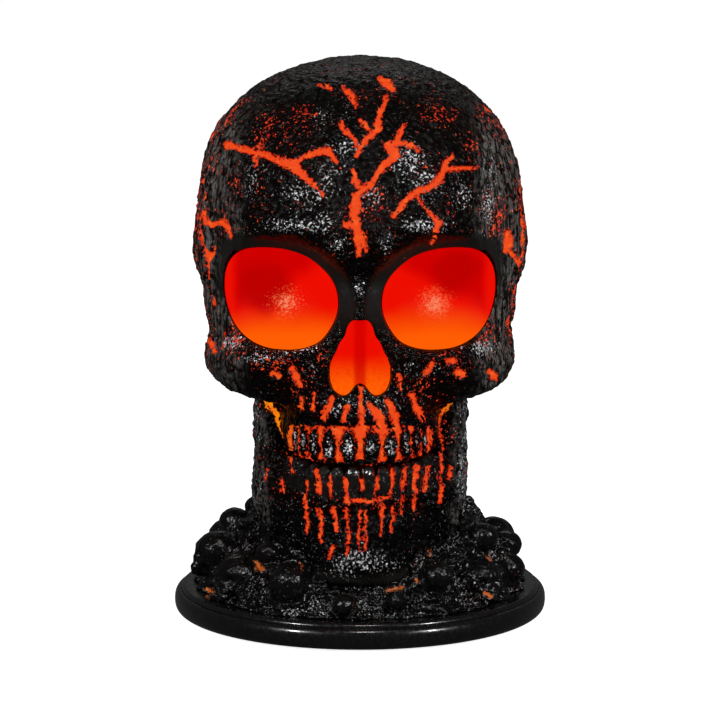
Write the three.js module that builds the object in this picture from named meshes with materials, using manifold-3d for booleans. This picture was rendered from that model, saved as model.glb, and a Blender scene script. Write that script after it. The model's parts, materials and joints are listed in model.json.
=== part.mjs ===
// A table lamp in the shape of a lava-cracked skull that stands on a round moulded plinth,
// in a pile of small skulls. Two moulded shells and a lower jaw make the hollow head. Amber
// inserts close the eye sockets and the nose, and three LEDs on a post light them from inside.
// Three cells sit under the head in a box with a hinged door and a slide switch.
// Millimetres, +Z up, the face looks along -Y. The origin is the centre of the footprint.

import * as THREE from 'three';
import { mergeVertices } from 'three/addons/utils/BufferGeometryUtils.js';
import Module from 'manifold-3d';

const wasm = await Module();
wasm.setup();

// Driving sizes of the whole lamp
const overallHeight = 197;
const plinthDiameter = 132;
const skullWidth = 117;
const skullAxisY = 4; // the skull's vertical axis, a little behind the plinth's
const foreheadReach = 57; // from the skull's axis to the face
const occiputReach = 60; // from the skull's axis to the back of the head
const shellWall = 3;

// Gaps between pieces
const seatGap = 0.3; // between two pieces that are fitted together
const overrun = 8; // how far a cutting tool runs past what it cuts

// Feet, base plate and plinth, from the table up
const plinthRadius = plinthDiameter / 2;
const rimWidth = 6;
const plateRadius = plinthRadius - rimWidth;
const plateThickness = 3;
const footRadius = 5;
const footThickness = 1.5;
const footInset = 9; // from the plate's edge to a foot's middle
const footCircle = plateRadius - footInset;
const plateBottomZ = footThickness;
const plateTopZ = plateBottomZ + plateThickness;
const rimLift = 0.8; // the rim clears the table, so that the lamp stands on its feet
const plinthHeight = 9.2;
const plinthTopZ = rimLift + plinthHeight;
const lowerBeadRadius = 2.5;
const upperBeadRadius = 1.7;
const upperBeadInset = 2.2;
const ledgeWidth = 3; // the plate's edge bears on this ledge
const plinthLedgeRadius = plateRadius - ledgeWidth;
const deckThickness = 2.4;
const deckWidth = 21;
const deckHoleRadius = plinthRadius - deckWidth;

// Screws: pan heads in counterbores
const screwShankRadius = 1.2;
const screwHeadRadius = 2.8;
const screwHeadHeight = 1.6;
const screwSlotWidth = 0.7;
const screwSlotDepth = 0.7;
const screwBossRadius = 3.8;
const plateScrewInset = 10;
const plateScrewCircle = plateRadius - plateScrewInset;
const plateScrewLength = 6.5;
const counterboreDepth = 1.8;

// Cells and their box
const cellCount = 3;
const cellRadius = 5.25;
const cellLength = 43.7;
const cellNubRadius = 1.9;
const cellNubLength = 0.8;
const cellPitch = 10.9;
const springRoom = 5.5; // free length between a cell and the end wall
const boxWall = 1.6;
const cellLift = 0.4; // air under and over the cells
const pocketLength = cellLength + cellNubLength + springRoom;
const pocketWidth = cellCount * cellPitch;
const boxTopZ = plateTopZ + cellLift + 2 * cellRadius + cellLift + boxWall;
const cellAxisZ = plateTopZ + cellLift + cellRadius;
const contactThickness = 0.4;
const contactHeight = 8;
const contactWidth = 8;
const springRadius = 2.8;
const springWire = 0.35;
const springTurns = 3;
const springStepsPerTurn = 6;
const springEndGap = 0.1;

// Battery door, hinged at its -X end
const doorThickness = 2.4;
const doorLength = 50;
const doorWidth = 33;
const doorPinRadius = 0.7;
const doorPinLength = 1.6;
const doorPinPlay = 0.1;
const latchWidth = 9;
const latchReach = 1.8;
const latchThickness = 1.4;
const thumbRadius = 9;
const thumbDepth = 0.9;
const thumbInset = 7; // from the latch end to the middle of the thumb hollow

// Slide switch, behind the cells
const switchInset = 9; // from the edge of the deck's hole
const switchY = deckHoleRadius - switchInset;
const switchLength = 11;
const switchDepth = 5.4;
const switchHeight = 4.4;
const knobLength = 2.8;
const knobDepth = 2.4;
const knobProud = 0.7; // below the base plate
const knobInside = 1.6; // inside the switch body
const knobTravel = 2.5;
const knobRibs = 2;
const knobGrooveWidth = 0.45;
const knobGrooveDepth = 0.35;

// LED post and board
const postRadius = 5.5;
const postWall = 1.4;
const postFlangeRadius = 11;
const postFlangeThickness = 2;
const postHeadRadius = 8;
const boardRadius = 13;
const boardThickness = 1.6;
const boardTopZ = 70;
const ledRadius = 2.5;
const ledRimRadius = 2.9;
const ledRimHeight = 1;
const ledHeight = 8.4;
const ledCircle = 7;
const ledCount = 3;
const wireRadius = 0.65;
const wireHoleRadius = 1.6;
const resistorSize = [3.2, 1.6, 0.6];

// The pile of small skulls, which carries the head on a flat seat
const pileSeatGap = 0.4; // air over the battery box
const pileSeatThickness = 2.2;
const pileSeatBottomZ = boxTopZ + pileSeatGap;
const pileSeatZ = pileSeatBottomZ + pileSeatThickness;
const pileInset = 6;
const pileReach = plinthRadius - pileInset; // the small skulls reach this far out
const rubbleInset = 5;
const pileFootRadius = pileReach - rubbleInset;
const pileHeight = 28; // rubble height over the plinth
const rubbleSlope = 18; // how far its sides run in
const pileTopRadius = pileFootRadius - rubbleSlope;
const rubbleSwell = 1.3;
const caveInset = 4;
const pileCaveRadius = deckHoleRadius - caveInset; // the hollow over the battery box
const pileHoleRadius = 21.5; // for the post and its wires
const smallSkullRadius = 8.2;

// The head: heights up from the table
const crownZ = overallHeight;
const widestZ = 137;
const cheekZ = 100;
const cheekTopZ = 91;
const cheekUnderZ = 78;
const toothEdgeZ = 64;
const neckHalfWidth = 29.5;
const neckReach = 30; // from the skull's axis to the back of the neck
const napeLowZ = 78;
const napeHighZ = 128;
const cheekHalfWidth = 54;
const seamY = 8; // the plane that parts the face from the back of the head
const seamLipDepth = 4;
const seamLipWall = 1.6;
const lipLowZ = 92; // the lip stops above the jaw's joints
const sectionPower = 2.2;
const domePower = 2.7;

// Eye sockets and nose
const socketX = 27.2;
const socketRimY = -44; // on the socket's middle line
const socketZ = 123.2;
const socketHalfWidth = 20;
const socketHalfHeight = 17.8;
const socketDepth = 18;
const socketSlant = 0.5; // how fast the rim runs back towards the temple
const socketWidthShares = [1, 1, 0.94, 0.8, 0.6, 0.3];
const socketDepthShares = [-1.2, 0, 0.33, 0.67, 0.89, 1];
const insertWall = 1.6;
const insertInset = 1.8; // how far an insert's edge lies behind the face
const noseTopZ = 116.5;
const noseBottomZ = 89.5;
const noseTopHalfWidth = 4;
const noseHalfWidth = 10.6;
const noseDepth = 16; // from the face to the floor of the nose
const septumWidth = 3;
const vomerHeight = 4.5;
const vomerHalfWidth = 3;

// Lava cracks in the skin of the head
const crackHalfWidth = 1.3;
const crackDepth = 1.3;
const crackLip = 1.2; // how far the cutting tool stands out of the skin

// Teeth and lower jaw
const upperTeethPerSide = 5;
const upperToothPitch = 7.6;
const upperRootZ = 80;
const upperToothProud = 1.5;
const lowerTeethPerSide = 6;
const lowerToothPitch = 5.8;
const lowerRootZ = 47;
const lowerToothProud = 1.1;
const toothWidthShare = 1.04; // of the pitch, before neighbours merge at their roots
const toothTrim = 4; // how much of a tooth's round end its biting edge cuts off
const biteGap = 0.9;
const gumZ = 53;
const jawSetBack = 3.6; // middle of the jaw's wall behind the tooth line, at the chin
const jawFlare = 4.4; // and outside it, at the joints
const jawEndTurn = THREE.MathUtils.degToRad(99);
const jawThickness = 7;
const chinZ = pileSeatZ + seatGap;
const chinProud = 2.5;
const chinBumpZ = 27;
const ramusTopZ = 84;
const jawAngleZ = 30;

const smooth = (low, high, value) => THREE.MathUtils.smoothstep(value, low, high);
const mix = THREE.MathUtils.lerp;

// A closed geometry as a solid that can be joined and cut.
function solidOf(geometry) {
  const plain = geometry.index ? geometry.toNonIndexed() : geometry.clone();
  plain.deleteAttribute('normal');
  plain.deleteAttribute('uv');
  const merged = mergeVertices(plain, 1e-4);
  return new wasm.Manifold(
    new wasm.Mesh({
      numProp: 3,
      vertProperties: merged.attributes.position.array,
      triVerts: new Uint32Array(merged.index.array),
    }),
  );
}

// A solid back as a geometry for a mesh.
function geometryOf(solid) {
  const made = solid.getMesh();
  const positions = new Float32Array(made.numVert * 3);
  for (let i = 0; i < made.numVert; i++) {
    positions.set(made.vertProperties.subarray(i * made.numProp, i * made.numProp + 3), i * 3);
  }
  const geometry = new THREE.BufferGeometry();
  geometry.setAttribute('position', new THREE.BufferAttribute(positions, 3));
  geometry.setIndex(new THREE.BufferAttribute(made.triVerts, 1));
  geometry.computeVertexNormals();
  return geometry;
}

const join = (...solids) => solids.reduce((sum, next) => sum.add(next));
const cut = (solid, ...tools) => tools.reduce((rest, tool) => rest.subtract(tool), solid);

// A box between two corners.
function boxBetween(x0, x1, y0, y1, z0, z1) {
  const geometry = new THREE.BoxGeometry(x1 - x0, y1 - y0, z1 - z0);
  return solidOf(geometry.translate((x0 + x1) / 2, (y0 + y1) / 2, (z0 + z1) / 2));
}

// An upright round rod between two heights.
function rod(radius, z0, z1, x = 0, y = 0, sides = 16) {
  const geometry = new THREE.CylinderGeometry(radius, radius, z1 - z0, sides);
  return solidOf(geometry.rotateX(Math.PI / 2).translate(x, y, (z0 + z1) / 2));
}

// An ellipsoid with its poles along Z, turned about Z by yaw.
function ellipsoid(rx, ry, rz, x, y, z, yaw = 0, around = 20, along = 12) {
  const geometry = new THREE.SphereGeometry(1, around, along).rotateX(Math.PI / 2);
  return solidOf(geometry.scale(rx, ry, rz).rotateZ(yaw).translate(x, y, z));
}

// A revolved profile, given as [radius, height] pairs or Vector2s, as an upright geometry.
function turned(profile, segments) {
  const points = profile.map((p) => (p.isVector2 ? p : new THREE.Vector2(p[0], p[1])));
  return new THREE.LatheGeometry(points, segments).rotateX(Math.PI / 2);
}

// A skin through rings of points that run anticlockwise seen from the far end, closed by fans.
function loft(rings) {
  const columns = rings[0].length;
  const points = rings.flat();
  const faces = [];
  for (let row = 0; row + 1 < rings.length; row++) {
    for (let column = 0; column < columns; column++) {
      const a = row * columns + column;
      const b = row * columns + ((column + 1) % columns);
      faces.push(a, b, b + columns, a, b + columns, a + columns);
    }
  }
  const lowHub = points.length;
  const highHub = lowHub + 1;
  const lastRow = (rings.length - 1) * columns;
  const middle = (ring) =>
    ring.reduce((sum, p) => sum.add(p), new THREE.Vector3()).divideScalar(columns);
  points.push(middle(rings[0]), middle(rings.at(-1)));
  for (let column = 0; column < columns; column++) {
    const next = (column + 1) % columns;
    faces.push(lowHub, next, column, highHub, lastRow + column, lastRow + next);
  }
  const geometry = new THREE.BufferGeometry().setFromPoints(points);
  return geometry.setIndex(faces);
}

// Swells and hollows of the face, each a smooth bump in the front view, as shares of an eye
// socket: across from the middle and half width in socket half widths, up from the socket's
// middle and half height in socket half heights, and push forward in socket depths.
const faceSwellShares = [
  [1.05, 1.34, 0.75, 0.31, 0.25], // brow ridges
  [0.35, 1, 0.25, 0.34, 0.17], // inner ends of the brows
  [0, 0.27, 0.45, 0.5, -0.33], // root of the nose
  [0, -0.29, 0.25, 0.39, 0.19], // nose bones
  [1.36, 0, 0.7, 0.67, -0.22], // around the sockets
  [0.62, -1.36, 0.17, 0.62, 0.08], // rim of the nose
  [1.25, -2.03, 0.35, 0.45, -0.33], // hollows under the cheekbones
  [2.05, -1.41, 0.45, 0.31, 0.22], // cheekbones
  [0, -2.43, 0.7, 0.39, 0.08], // roots of the front teeth
  [1.35, 2.4, 0.7, 0.67, 0.11], // the two bosses of the forehead
];

// The same for the sides of the head: back from the axis and half depth in shares of the reach
// of the occiput, then up, half height and push outward as before.
const sideSwellShares = [
  [-0.48, 0.27, 0.2, 0.9, -0.22], // temples
  [-0.3, -1.41, 0.33, 0.34, 0.11], // cheekbone arches
  [0.2, -1.87, 0.13, 0.39, 0.14], // behind the ears
];

const bump = (across, up) => Math.exp(-across * across - up * up);

// Half width and reach of the head at a height, as a superellipse dome over a tapering face.
function headSizes(z, inset) {
  const top = crownZ - inset;
  const lift = THREE.MathUtils.clamp((z - widestZ) / (top - widestZ), 0, 1);
  const dome = (1 - lift ** domePower) ** (1 / domePower);
  const taper = mix(cheekHalfWidth, skullWidth / 2, smooth(cheekZ, widestZ, z));
  const side = mix(neckHalfWidth, taper, smooth(cheekUnderZ, cheekTopZ, z));
  const back = mix(neckReach, occiputReach, smooth(napeLowZ, napeHighZ, z));
  return { side: (side - inset) * dome, front: (foreheadReach - inset) * dome, back: (back - inset) * dome };
}

// A point of the head's skin at a height and an angle from the front. An inset draws it inwards.
function headPoint(z, angle, inset) {
  const { side, front, back } = headSizes(z, inset);
  const sine = Math.sin(angle);
  const cosine = Math.cos(angle);
  const across = Math.sign(sine) * Math.abs(sine) ** (2 / sectionPower);
  const along = Math.abs(cosine) ** (2 / sectionPower);
  const point = new THREE.Vector3(side * across, skullAxisY, z);
  point.y += cosine > 0 ? -front * along : back * along;
  const facing = smooth(0.05, 0.5, cosine);
  const beside = smooth(0.3, 0.8, Math.abs(sine));
  const acrossShare = Math.abs(point.x) / socketHalfWidth;
  const backShare = (point.y - skullAxisY) / occiputReach;
  const upShare = (z - socketZ) / socketHalfHeight;
  let forward = 0;
  for (const [x, up, wide, tall, push] of faceSwellShares) {
    forward += push * socketDepth * bump((acrossShare - x) / wide, (upShare - up) / tall);
  }
  let outward = 0;
  for (const [y, up, deep, tall, push] of sideSwellShares) {
    outward += push * socketDepth * bump((backShare - y) / deep, (upShare - up) / tall);
  }
  point.x += Math.sign(across) * outward * beside;
  point.y -= forward * facing;
  return point;
}

// The head as one closed skin from the neck to the crown. Its columns crowd towards the face.
const frontCrowding = 0.45;
function headSkin(inset, { columns, neckRows, faceRows, domeRows }, bottomZ) {
  const top = crownZ - inset;
  const heights = [];
  for (let row = 0; row < neckRows; row++) {
    heights.push(mix(bottomZ, toothEdgeZ - seatGap, row / neckRows));
  }
  for (let row = 0; row < faceRows; row++) {
    heights.push(mix(toothEdgeZ - seatGap, widestZ, row / faceRows));
  }
  for (let row = 0; row < domeRows; row++) {
    const turn = (row / domeRows) * (Math.PI / 2);
    heights.push(widestZ + (top - widestZ) * Math.sin(turn) ** (2 / domePower));
  }
  const rings = heights.map((z) =>
    Array.from({ length: columns }, (_, column) => {
      const even = (column / columns) * 2 * Math.PI;
      return headPoint(z, even - frontCrowding * Math.sin(even), inset);
    }),
  );
  rings.push(rings.at(-1).map(() => new THREE.Vector3(0, skullAxisY, top)));
  return solidOf(loft(rings));
}

// The point at a distance along the tooth line from its middle, and the way it faces.
function archAt(distance, inset) {
  const steps = 400;
  const quarter = Math.PI / 2;
  let travelled = 0;
  let last = headPoint(toothEdgeZ, 0, inset);
  for (let step = 1; step <= steps; step++) {
    const next = headPoint(toothEdgeZ, (step / steps) * quarter, inset);
    const length = next.distanceTo(last);
    if (travelled + length >= Math.abs(distance)) {
      const facing = Math.atan2(next.y - last.y, next.x - last.x);
      return { x: Math.sign(distance) * next.x, y: next.y, turn: Math.sign(distance) * facing };
    }
    travelled += length;
    last = next;
  }
  return { x: last.x, y: last.y, turn: quarter };
}

// A row of teeth on the arch, as egg-shaped crowns that run from the biting edge into the gum.
function toothRow({ perSide, pitch, edgeZ, rootZ, proud }) {
  const teeth = [];
  const half = (pitch * toothWidthShare) / 2;
  const trim = Math.sign(edgeZ - rootZ) * toothTrim;
  const middleZ = (edgeZ + trim + rootZ) / 2;
  const reach = Math.abs(edgeZ + trim - rootZ) / 2;
  for (let tooth = 0; tooth < perSide; tooth++) {
    for (const side of [-1, 1]) {
      const spot = archAt(side * (tooth + 0.5) * pitch, half - proud);
      teeth.push(ellipsoid(half, half, reach, spot.x, spot.y, middleZ, spot.turn, 7, 5));
    }
  }
  const edgeZs = [edgeZ, edgeZ + 2 * trim].sort((a, b) => a - b);
  return cut(join(...teeth), boxBetween(-skullWidth, skullWidth, -plinthDiameter, skullWidth, ...edgeZs));
}

const behindSeam = (y0, z0, z1) =>
  boxBetween(-skullWidth, skullWidth, y0, plinthDiameter, z0, z1);
const outerGrid = { columns: 36, neckRows: 2, faceRows: 15, domeRows: 6 };
const innerGrid = { columns: 18, neckRows: 1, faceRows: 7, domeRows: 3 };
const headOuter = headSkin(0, outerGrid, pileSeatZ);
const headInner = headSkin(shellWall, innerGrid, pileSeatZ - overrun);

// Outline of an eye socket in shares of its half sizes, outwards from the nose and up: straight
// along the brow's outer end and down the outer side, and cut away slantwise towards the nose.
const socketOutlineShares = [
  [1.01, 0.4],
  [0.92, 0.78],
  [0.65, 0.97],
  [0.15, 1.01],
  [-0.38, 0.93],
  [-0.8, 0.5],
  [-0.97, 0.12],
  [-1.03, -0.07],
  [-0.98, -0.39],
  [-0.89, -0.64],
  [-0.63, -0.87],
  [-0.18, -0.96],
  [0.15, -0.99],
  [0.64, -0.88],
  [0.89, -0.54],
  [0.99, -0.11],
];

// An eye socket: a slanting opening that narrows to a bowl. Shrinking it makes its insert.
function socketShape(side, shrink) {
  const outline = side > 0 ? [...socketOutlineShares].reverse() : socketOutlineShares;
  const rings = socketDepthShares.map((depthShare, row) =>
    outline.map(([out, up]) => {
      const width = socketHalfWidth * socketWidthShares[row] - shrink;
      const height = socketHalfHeight * socketWidthShares[row] - shrink;
      const x = side * (socketX + width * out);
      const slant = width * out * socketSlant;
      const y = socketRimY + slant + depthShare * (socketDepth - shrink);
      return new THREE.Vector3(x, y, socketZ + height * up);
    }),
  );
  return solidOf(loft(rings));
}

// The nose opening: narrow at the top, round at the foot, with a spine rising in the middle.
function noseOutline(shrink) {
  const shape = new THREE.Shape();
  const top = noseTopZ - shrink;
  const foot = noseBottomZ + shrink;
  const half = noseHalfWidth - shrink;
  const narrow = noseTopHalfWidth - shrink;
  const bellyZ = mix(foot, top, 0.3);
  const spine = vomerHalfWidth + shrink;
  shape.moveTo(-narrow, top);
  shape.bezierCurveTo(-narrow, mix(bellyZ, top, 0.6), -half, mix(bellyZ, top, 0.5), -half, bellyZ);
  shape.quadraticCurveTo(-half, foot, mix(-half, -spine, 0.6), foot);
  shape.lineTo(-spine, foot);
  shape.lineTo(0, foot + vomerHeight);
  shape.lineTo(spine, foot);
  shape.lineTo(mix(half, spine, 0.6), foot);
  shape.quadraticCurveTo(half, foot, half, bellyZ);
  shape.bezierCurveTo(half, mix(bellyZ, top, 0.5), narrow, mix(bellyZ, top, 0.6), narrow, top);
  shape.closePath();
  return shape;
}

// The nose outline as a prism between two depths.
function noseShape(shrink, y0, y1) {
  const geometry = new THREE.ExtrudeGeometry(noseOutline(shrink), {
    depth: y1 - y0,
    bevelEnabled: false,
    curveSegments: 5,
  });
  return solidOf(geometry.rotateX(Math.PI / 2).translate(0, y1, 0));
}

// Cracks of the face, the back and the sides, each a line over the skin: across from the middle
// and up from the sockets' middle in shares of a socket's half sizes, then its width share.
const faceCrackShares = [
  [[-0.02, 0.88, 0.6], [-0.09, 1.72, 1.3], [-0.03, 2.09, 0.9], [0.21, 2.28, 0.9], [0.6, 2.81, 1.3], [0.71, 3.22, 0.7]],
  [[-0.03, 2.09, 0.8], [-0.12, 2.51, 0.5]],
  [[0.6, 2.81, 0.8], [0.91, 2.96, 0.7], [1.01, 2.8, 0.5]],
  [[-0.07, 2.79, 0.5], [0.3, 3.26, 0.9], [0.34, 3.48, 0.8], [0.44, 3.7, 0.5]],
  [[-2.2, 2.74, 0.9], [-1.82, 2.75, 0.8], [-1.14, 2.57, 1.4], [-0.76, 2.22, 0.7], [-0.66, 2.02, 0.4]],
  [[-1.14, 2.57, 0.8], [-0.78, 2.85, 0.8], [-0.4, 2.69, 0.5]],
  [[0.6, 1.66, 0.6], [0.96, 2.09, 0.8], [1.27, 2.23, 0.9], [1.51, 2.61, 0.7]],
  [[1.27, 2.23, 0.8], [1.6, 2.48, 0.7], [2.07, 2.43, 0.5]],
  [[0.96, 2.09, 0.5], [1.19, 1.75, 0.5], [1.38, 1.49, 0.8]],
];
const rearCrackShares = [
  [[0.1, -1.53, 0.4], [-0.05, -0.85, 0.9], [0.15, -0.24, 1.2], [-0.1, 0.44, 1.1], [0, 1.06, 0.7]],
  [[0.15, -0.24, 0.9], [0.65, 0.16, 0.9], [0.95, 0.78, 1], [1.5, 1.11, 0.6]],
  [[-0.1, 0.44, 0.9], [-0.6, 0.83, 1.1], [-0.85, 1.45, 0.9], [-0.65, 2.07, 0.6], [-0.85, 2.57, 0.3]],
  [[-0.6, 0.83, 0.7], [-1.15, 0.55, 0.8], [-1.6, 0.78, 0.4]],
  [[0.4, 1.84, 0.4], [0.25, 2.4, 0.9], [0.55, 2.97, 0.6]],
];

// The same on the sides, where the first share runs back from the axis in reaches of the occiput.
const cheekCrackShares = [
  [[-0.2, -0.29, 0.9], [-0.23, 0.27, 1.1], [-0.13, 0.89, 0.9], [-0.18, 1.45, 0.6]],
];
const earCrackShares = [
  [[0.17, -1.08, 0.4], [0.23, -0.57, 0.9], [0.38, -0.24, 1.1], [0.48, 0.33, 0.7]],
];
const leftSideShift = [-0.08, 0.17]; // so that the two sides of the head differ

// The turn round the head, between two turns, at which a measure of its skin reaches a value.
function turnWhere(measure, value, z, from, to) {
  const halvings = 30;
  const span = [from, to];
  for (let halving = 0; halving < halvings; halving++) {
    const middle = (span[0] + span[1]) / 2;
    span[measure(headPoint(z, middle, 0)) < value ? 0 : 1] = middle;
  }
  return span[0];
}

// A wedge along a crack: a ring of four points round each place on its line, tapering to its ends.
function crackTool(line, placeAt) {
  const places = line.map(([first, up, width]) => ({ ...placeAt(first, socketZ + up * socketHalfHeight), width }));
  const rings = places.map(({ point, normal, width }, i) => {
    const before = places[Math.max(i - 1, 0)].point;
    const after = places[Math.min(i + 1, places.length - 1)].point;
    const sideways = after.clone().sub(before).cross(normal).normalize();
    const half = width * crackHalfWidth;
    return [
      point.clone().addScaledVector(sideways, half),
      point.clone().addScaledVector(normal, -crackDepth),
      point.clone().addScaledVector(sideways, -half),
      point.clone().addScaledVector(normal, crackLip),
    ];
  });
  return solidOf(loft(rings));
}

// A place on the skin with its outward direction, mirrored for the left side of the head.
function skinPlace(z, turn, side) {
  const step = seatGap;
  const point = headPoint(z, turn, 0);
  const along = headPoint(z, turn + step / skullWidth, 0).sub(point);
  const normal = along.cross(headPoint(z + step, turn, 0).sub(point)).normalize();
  const flip = new THREE.Vector3(side, 1, 1);
  return { point: point.multiply(flip), normal: normal.multiply(flip) };
}

const half = Math.PI / 2;
const acrossOf = (point) => point.x;
const backOf = (point) => point.y;
const placeInFront = (across, z) =>
  skinPlace(z, turnWhere(acrossOf, Math.abs(across) * socketHalfWidth, z, 0, half), Math.sign(across));
const placeBehind = (across, z) =>
  skinPlace(z, turnWhere(acrossOf, Math.abs(across) * socketHalfWidth, z, 2 * half, half), Math.sign(across) || 1);
const placeBeside = (side) => (back, z) =>
  skinPlace(z, turnWhere(backOf, skullAxisY + back * occiputReach, z, 0, 2 * half), side);
const faceCracks = () => faceCrackShares.map((line) => crackTool(line, placeInFront));
const rearCracks = () => rearCrackShares.map((line) => crackTool(line, placeBehind));
const sideCracks = (lines) =>
  lines.flatMap((line) => {
    const shifted = line.map(([back, up, width]) => [back + leftSideShift[0], up + leftSideShift[1], width]);
    return [crackTool(line, placeBeside(1)), crackTool(shifted, placeBeside(-1))];
  });

const faceY = skullAxisY - foreheadReach;
const noseFloorY = faceY + noseDepth;

// Face shell: the front of the head down to the upper teeth, open at the back and below.
function faceShell() {
  const teeth = toothRow({
    perSide: upperTeethPerSide,
    pitch: upperToothPitch,
    edgeZ: toothEdgeZ,
    rootZ: upperRootZ,
    proud: upperToothProud,
  });
  return cut(
    join(headOuter, teeth),
    headInner,
    behindSeam(seamY, -overrun, crownZ + overrun),
    boxBetween(-skullWidth, skullWidth, -plinthDiameter, skullWidth, -overrun, toothEdgeZ),
    socketShape(-1, 0),
    socketShape(1, 0),
    noseShape(0, faceY - overrun, noseFloorY + overrun),
    join(...faceCracks(), ...sideCracks(cheekCrackShares)),
  );
}

// Rear shell: the back of the head and the neck, with a lip that centres the face shell and
// two bosses for the screws that hold it on the pile.
const rearBossX = 16.5;
const rearBossY = 25;
const bossHeight = 12;
function rearShell() {
  const wall = cut(
    headOuter,
    headInner,
    boxBetween(-skullWidth, skullWidth, -plinthDiameter, seamY + seatGap, -overrun, crownZ + overrun),
  );
  const lipInner = headSkin(shellWall + seatGap + seamLipWall, innerGrid, pileSeatZ - overrun);
  const lipFrom = boxBetween(-skullWidth, skullWidth, seamY - seamLipDepth, seamY + 2 * seatGap, lipLowZ, crownZ);
  const rootFrom = boxBetween(-skullWidth, skullWidth, seamY + seatGap, seamY + seamLipDepth, lipLowZ, crownZ);
  const lip = headSkin(shellWall + seatGap, innerGrid, pileSeatZ - overrun).intersect(lipFrom);
  const root = headSkin(shellWall / 2, innerGrid, pileSeatZ - overrun).intersect(rootFrom);
  const bosses = [-1, 1].map((side) =>
    rod(screwBossRadius, pileSeatZ, pileSeatZ + bossHeight, side * rearBossX, rearBossY).intersect(headOuter),
  );
  const holes = [-1, 1].map((side) =>
    rod(
      screwShankRadius + seatGap,
      pileSeatZ - overrun,
      pileSeatZ + bossHeight - boxWall,
      side * rearBossX,
      rearBossY,
    ),
  );
  const cracks = join(...rearCracks(), ...sideCracks(earCrackShares));
  return cut(join(wall, cut(join(lip, root), lipInner), ...bosses), cracks, ...holes);
}

// Lower jaw: a horseshoe wall whose top and bottom edges rise from the chin to the joints.
function jawRing(turn, grow) {
  const share = Math.abs(turn) / (Math.PI / 2);
  const { side, front } = headSizes(toothEdgeZ, 0);
  const outward = new THREE.Vector3(Math.sin(turn) / side, -Math.cos(turn) / front, 0).normalize();
  const flare = mix(-jawSetBack, jawFlare, smooth(0.3, 0.75, share));
  const middle = headPoint(toothEdgeZ, turn, 0).addScaledVector(outward, flare);
  const top = mix(gumZ, ramusTopZ, smooth(0.6, 0.88, share)) + grow;
  const bottom = mix(chinZ, jawAngleZ, smooth(0.25, 0.85, share)) - grow;
  const half = jawThickness / 2 + grow;
  const corners = 8;
  return Array.from({ length: corners }, (_, corner) => {
    const angle = -(corner / corners) * 2 * Math.PI;
    const power = 2 / 3;
    const out = Math.sign(Math.cos(angle)) * Math.abs(Math.cos(angle)) ** power;
    const up = Math.sign(Math.sin(angle)) * Math.abs(Math.sin(angle)) ** power;
    const z = mix(bottom, top, (up + 1) / 2);
    const chin = chinProud * bump(share / 0.22, (z - chinBumpZ) / jawThickness) * Math.max(0, out);
    return middle.clone().addScaledVector(outward, half * out + chin).setZ(z);
  });
}

function jawWall(grow) {
  const steps = 26;
  const rings = Array.from({ length: steps + 1 }, (_, step) =>
    jawRing(mix(-jawEndTurn, jawEndTurn, step / steps), grow),
  );
  return solidOf(loft(rings));
}

const jawBossX = 12;
const jawBossY = -39.5;
function lowerJaw() {
  const teeth = toothRow({
    perSide: lowerTeethPerSide,
    pitch: lowerToothPitch,
    edgeZ: toothEdgeZ - biteGap,
    rootZ: lowerRootZ,
    proud: lowerToothProud,
  });
  const bosses = [-1, 1].map((side) =>
    rod(screwBossRadius, chinZ, chinZ + bossHeight, side * jawBossX, jawBossY),
  );
  const holes = [-1, 1].map((side) =>
    rod(
      screwShankRadius + seatGap,
      chinZ - overrun,
      chinZ + bossHeight - boxWall,
      side * jawBossX,
      jawBossY,
    ),
  );
  const skull = headSkin(-seatGap, outerGrid, pileSeatZ - overrun);
  const overTeeth = boxBetween(
    -skullWidth,
    skullWidth,
    -plinthDiameter,
    plinthDiameter,
    toothEdgeZ - seatGap,
    crownZ,
  );
  const neck = skull.intersect(behindSeam(seamY - seatGap, -overrun, crownZ));
  return cut(join(jawWall(0), teeth, ...bosses), neck, skull.intersect(overTeeth), ...holes);
}

// Eye insert: a translucent bowl behind the socket's rim.
const behindFace = headSkin(insertInset, outerGrid, pileSeatZ);
function eyeInsert(side) {
  const bowl = cut(socketShape(side, seatGap), socketShape(side, seatGap + insertWall));
  return bowl.intersect(behindFace);
}

// Nose insert: a cup in the nose opening, with a septum between its two hollows.
function noseInsert() {
  const plug = noseShape(seatGap, faceY - overrun, noseFloorY).intersect(behindFace);
  const hollow = noseShape(seatGap + insertWall, faceY - overrun, noseFloorY - insertWall);
  const septum = boxBetween(
    -septumWidth / 2,
    septumWidth / 2,
    faceY + noseDepth / 2,
    noseFloorY,
    noseBottomZ,
    noseTopZ,
  );
  return cut(plug, cut(hollow, septum));
}

// A small skull of unit radius that looks along -Y: a cranium, a face and two sockets.
function smallSkull(matrix, hasFace) {
  const part = (rx, ry, rz, x, y, z, around, along) => {
    const geometry = new THREE.SphereGeometry(1, around, along).rotateX(Math.PI / 2);
    return solidOf(geometry.scale(rx, ry, rz).translate(x, y, z).applyMatrix4(matrix));
  };
  const cranium = part(1, 1.08, 0.94, 0, 0, 0, 9, 5);
  if (!hasFace) return cranium;
  const face = part(0.62, 0.48, 0.84, 0, -0.7, -0.5, 6, 4);
  const sockets = [-1, 1].map((side) => part(0.3, 0.44, 0.28, side * 0.37, -1.1, -0.18, 5, 3));
  return cut(join(cranium, face), ...sockets);
}

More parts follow.
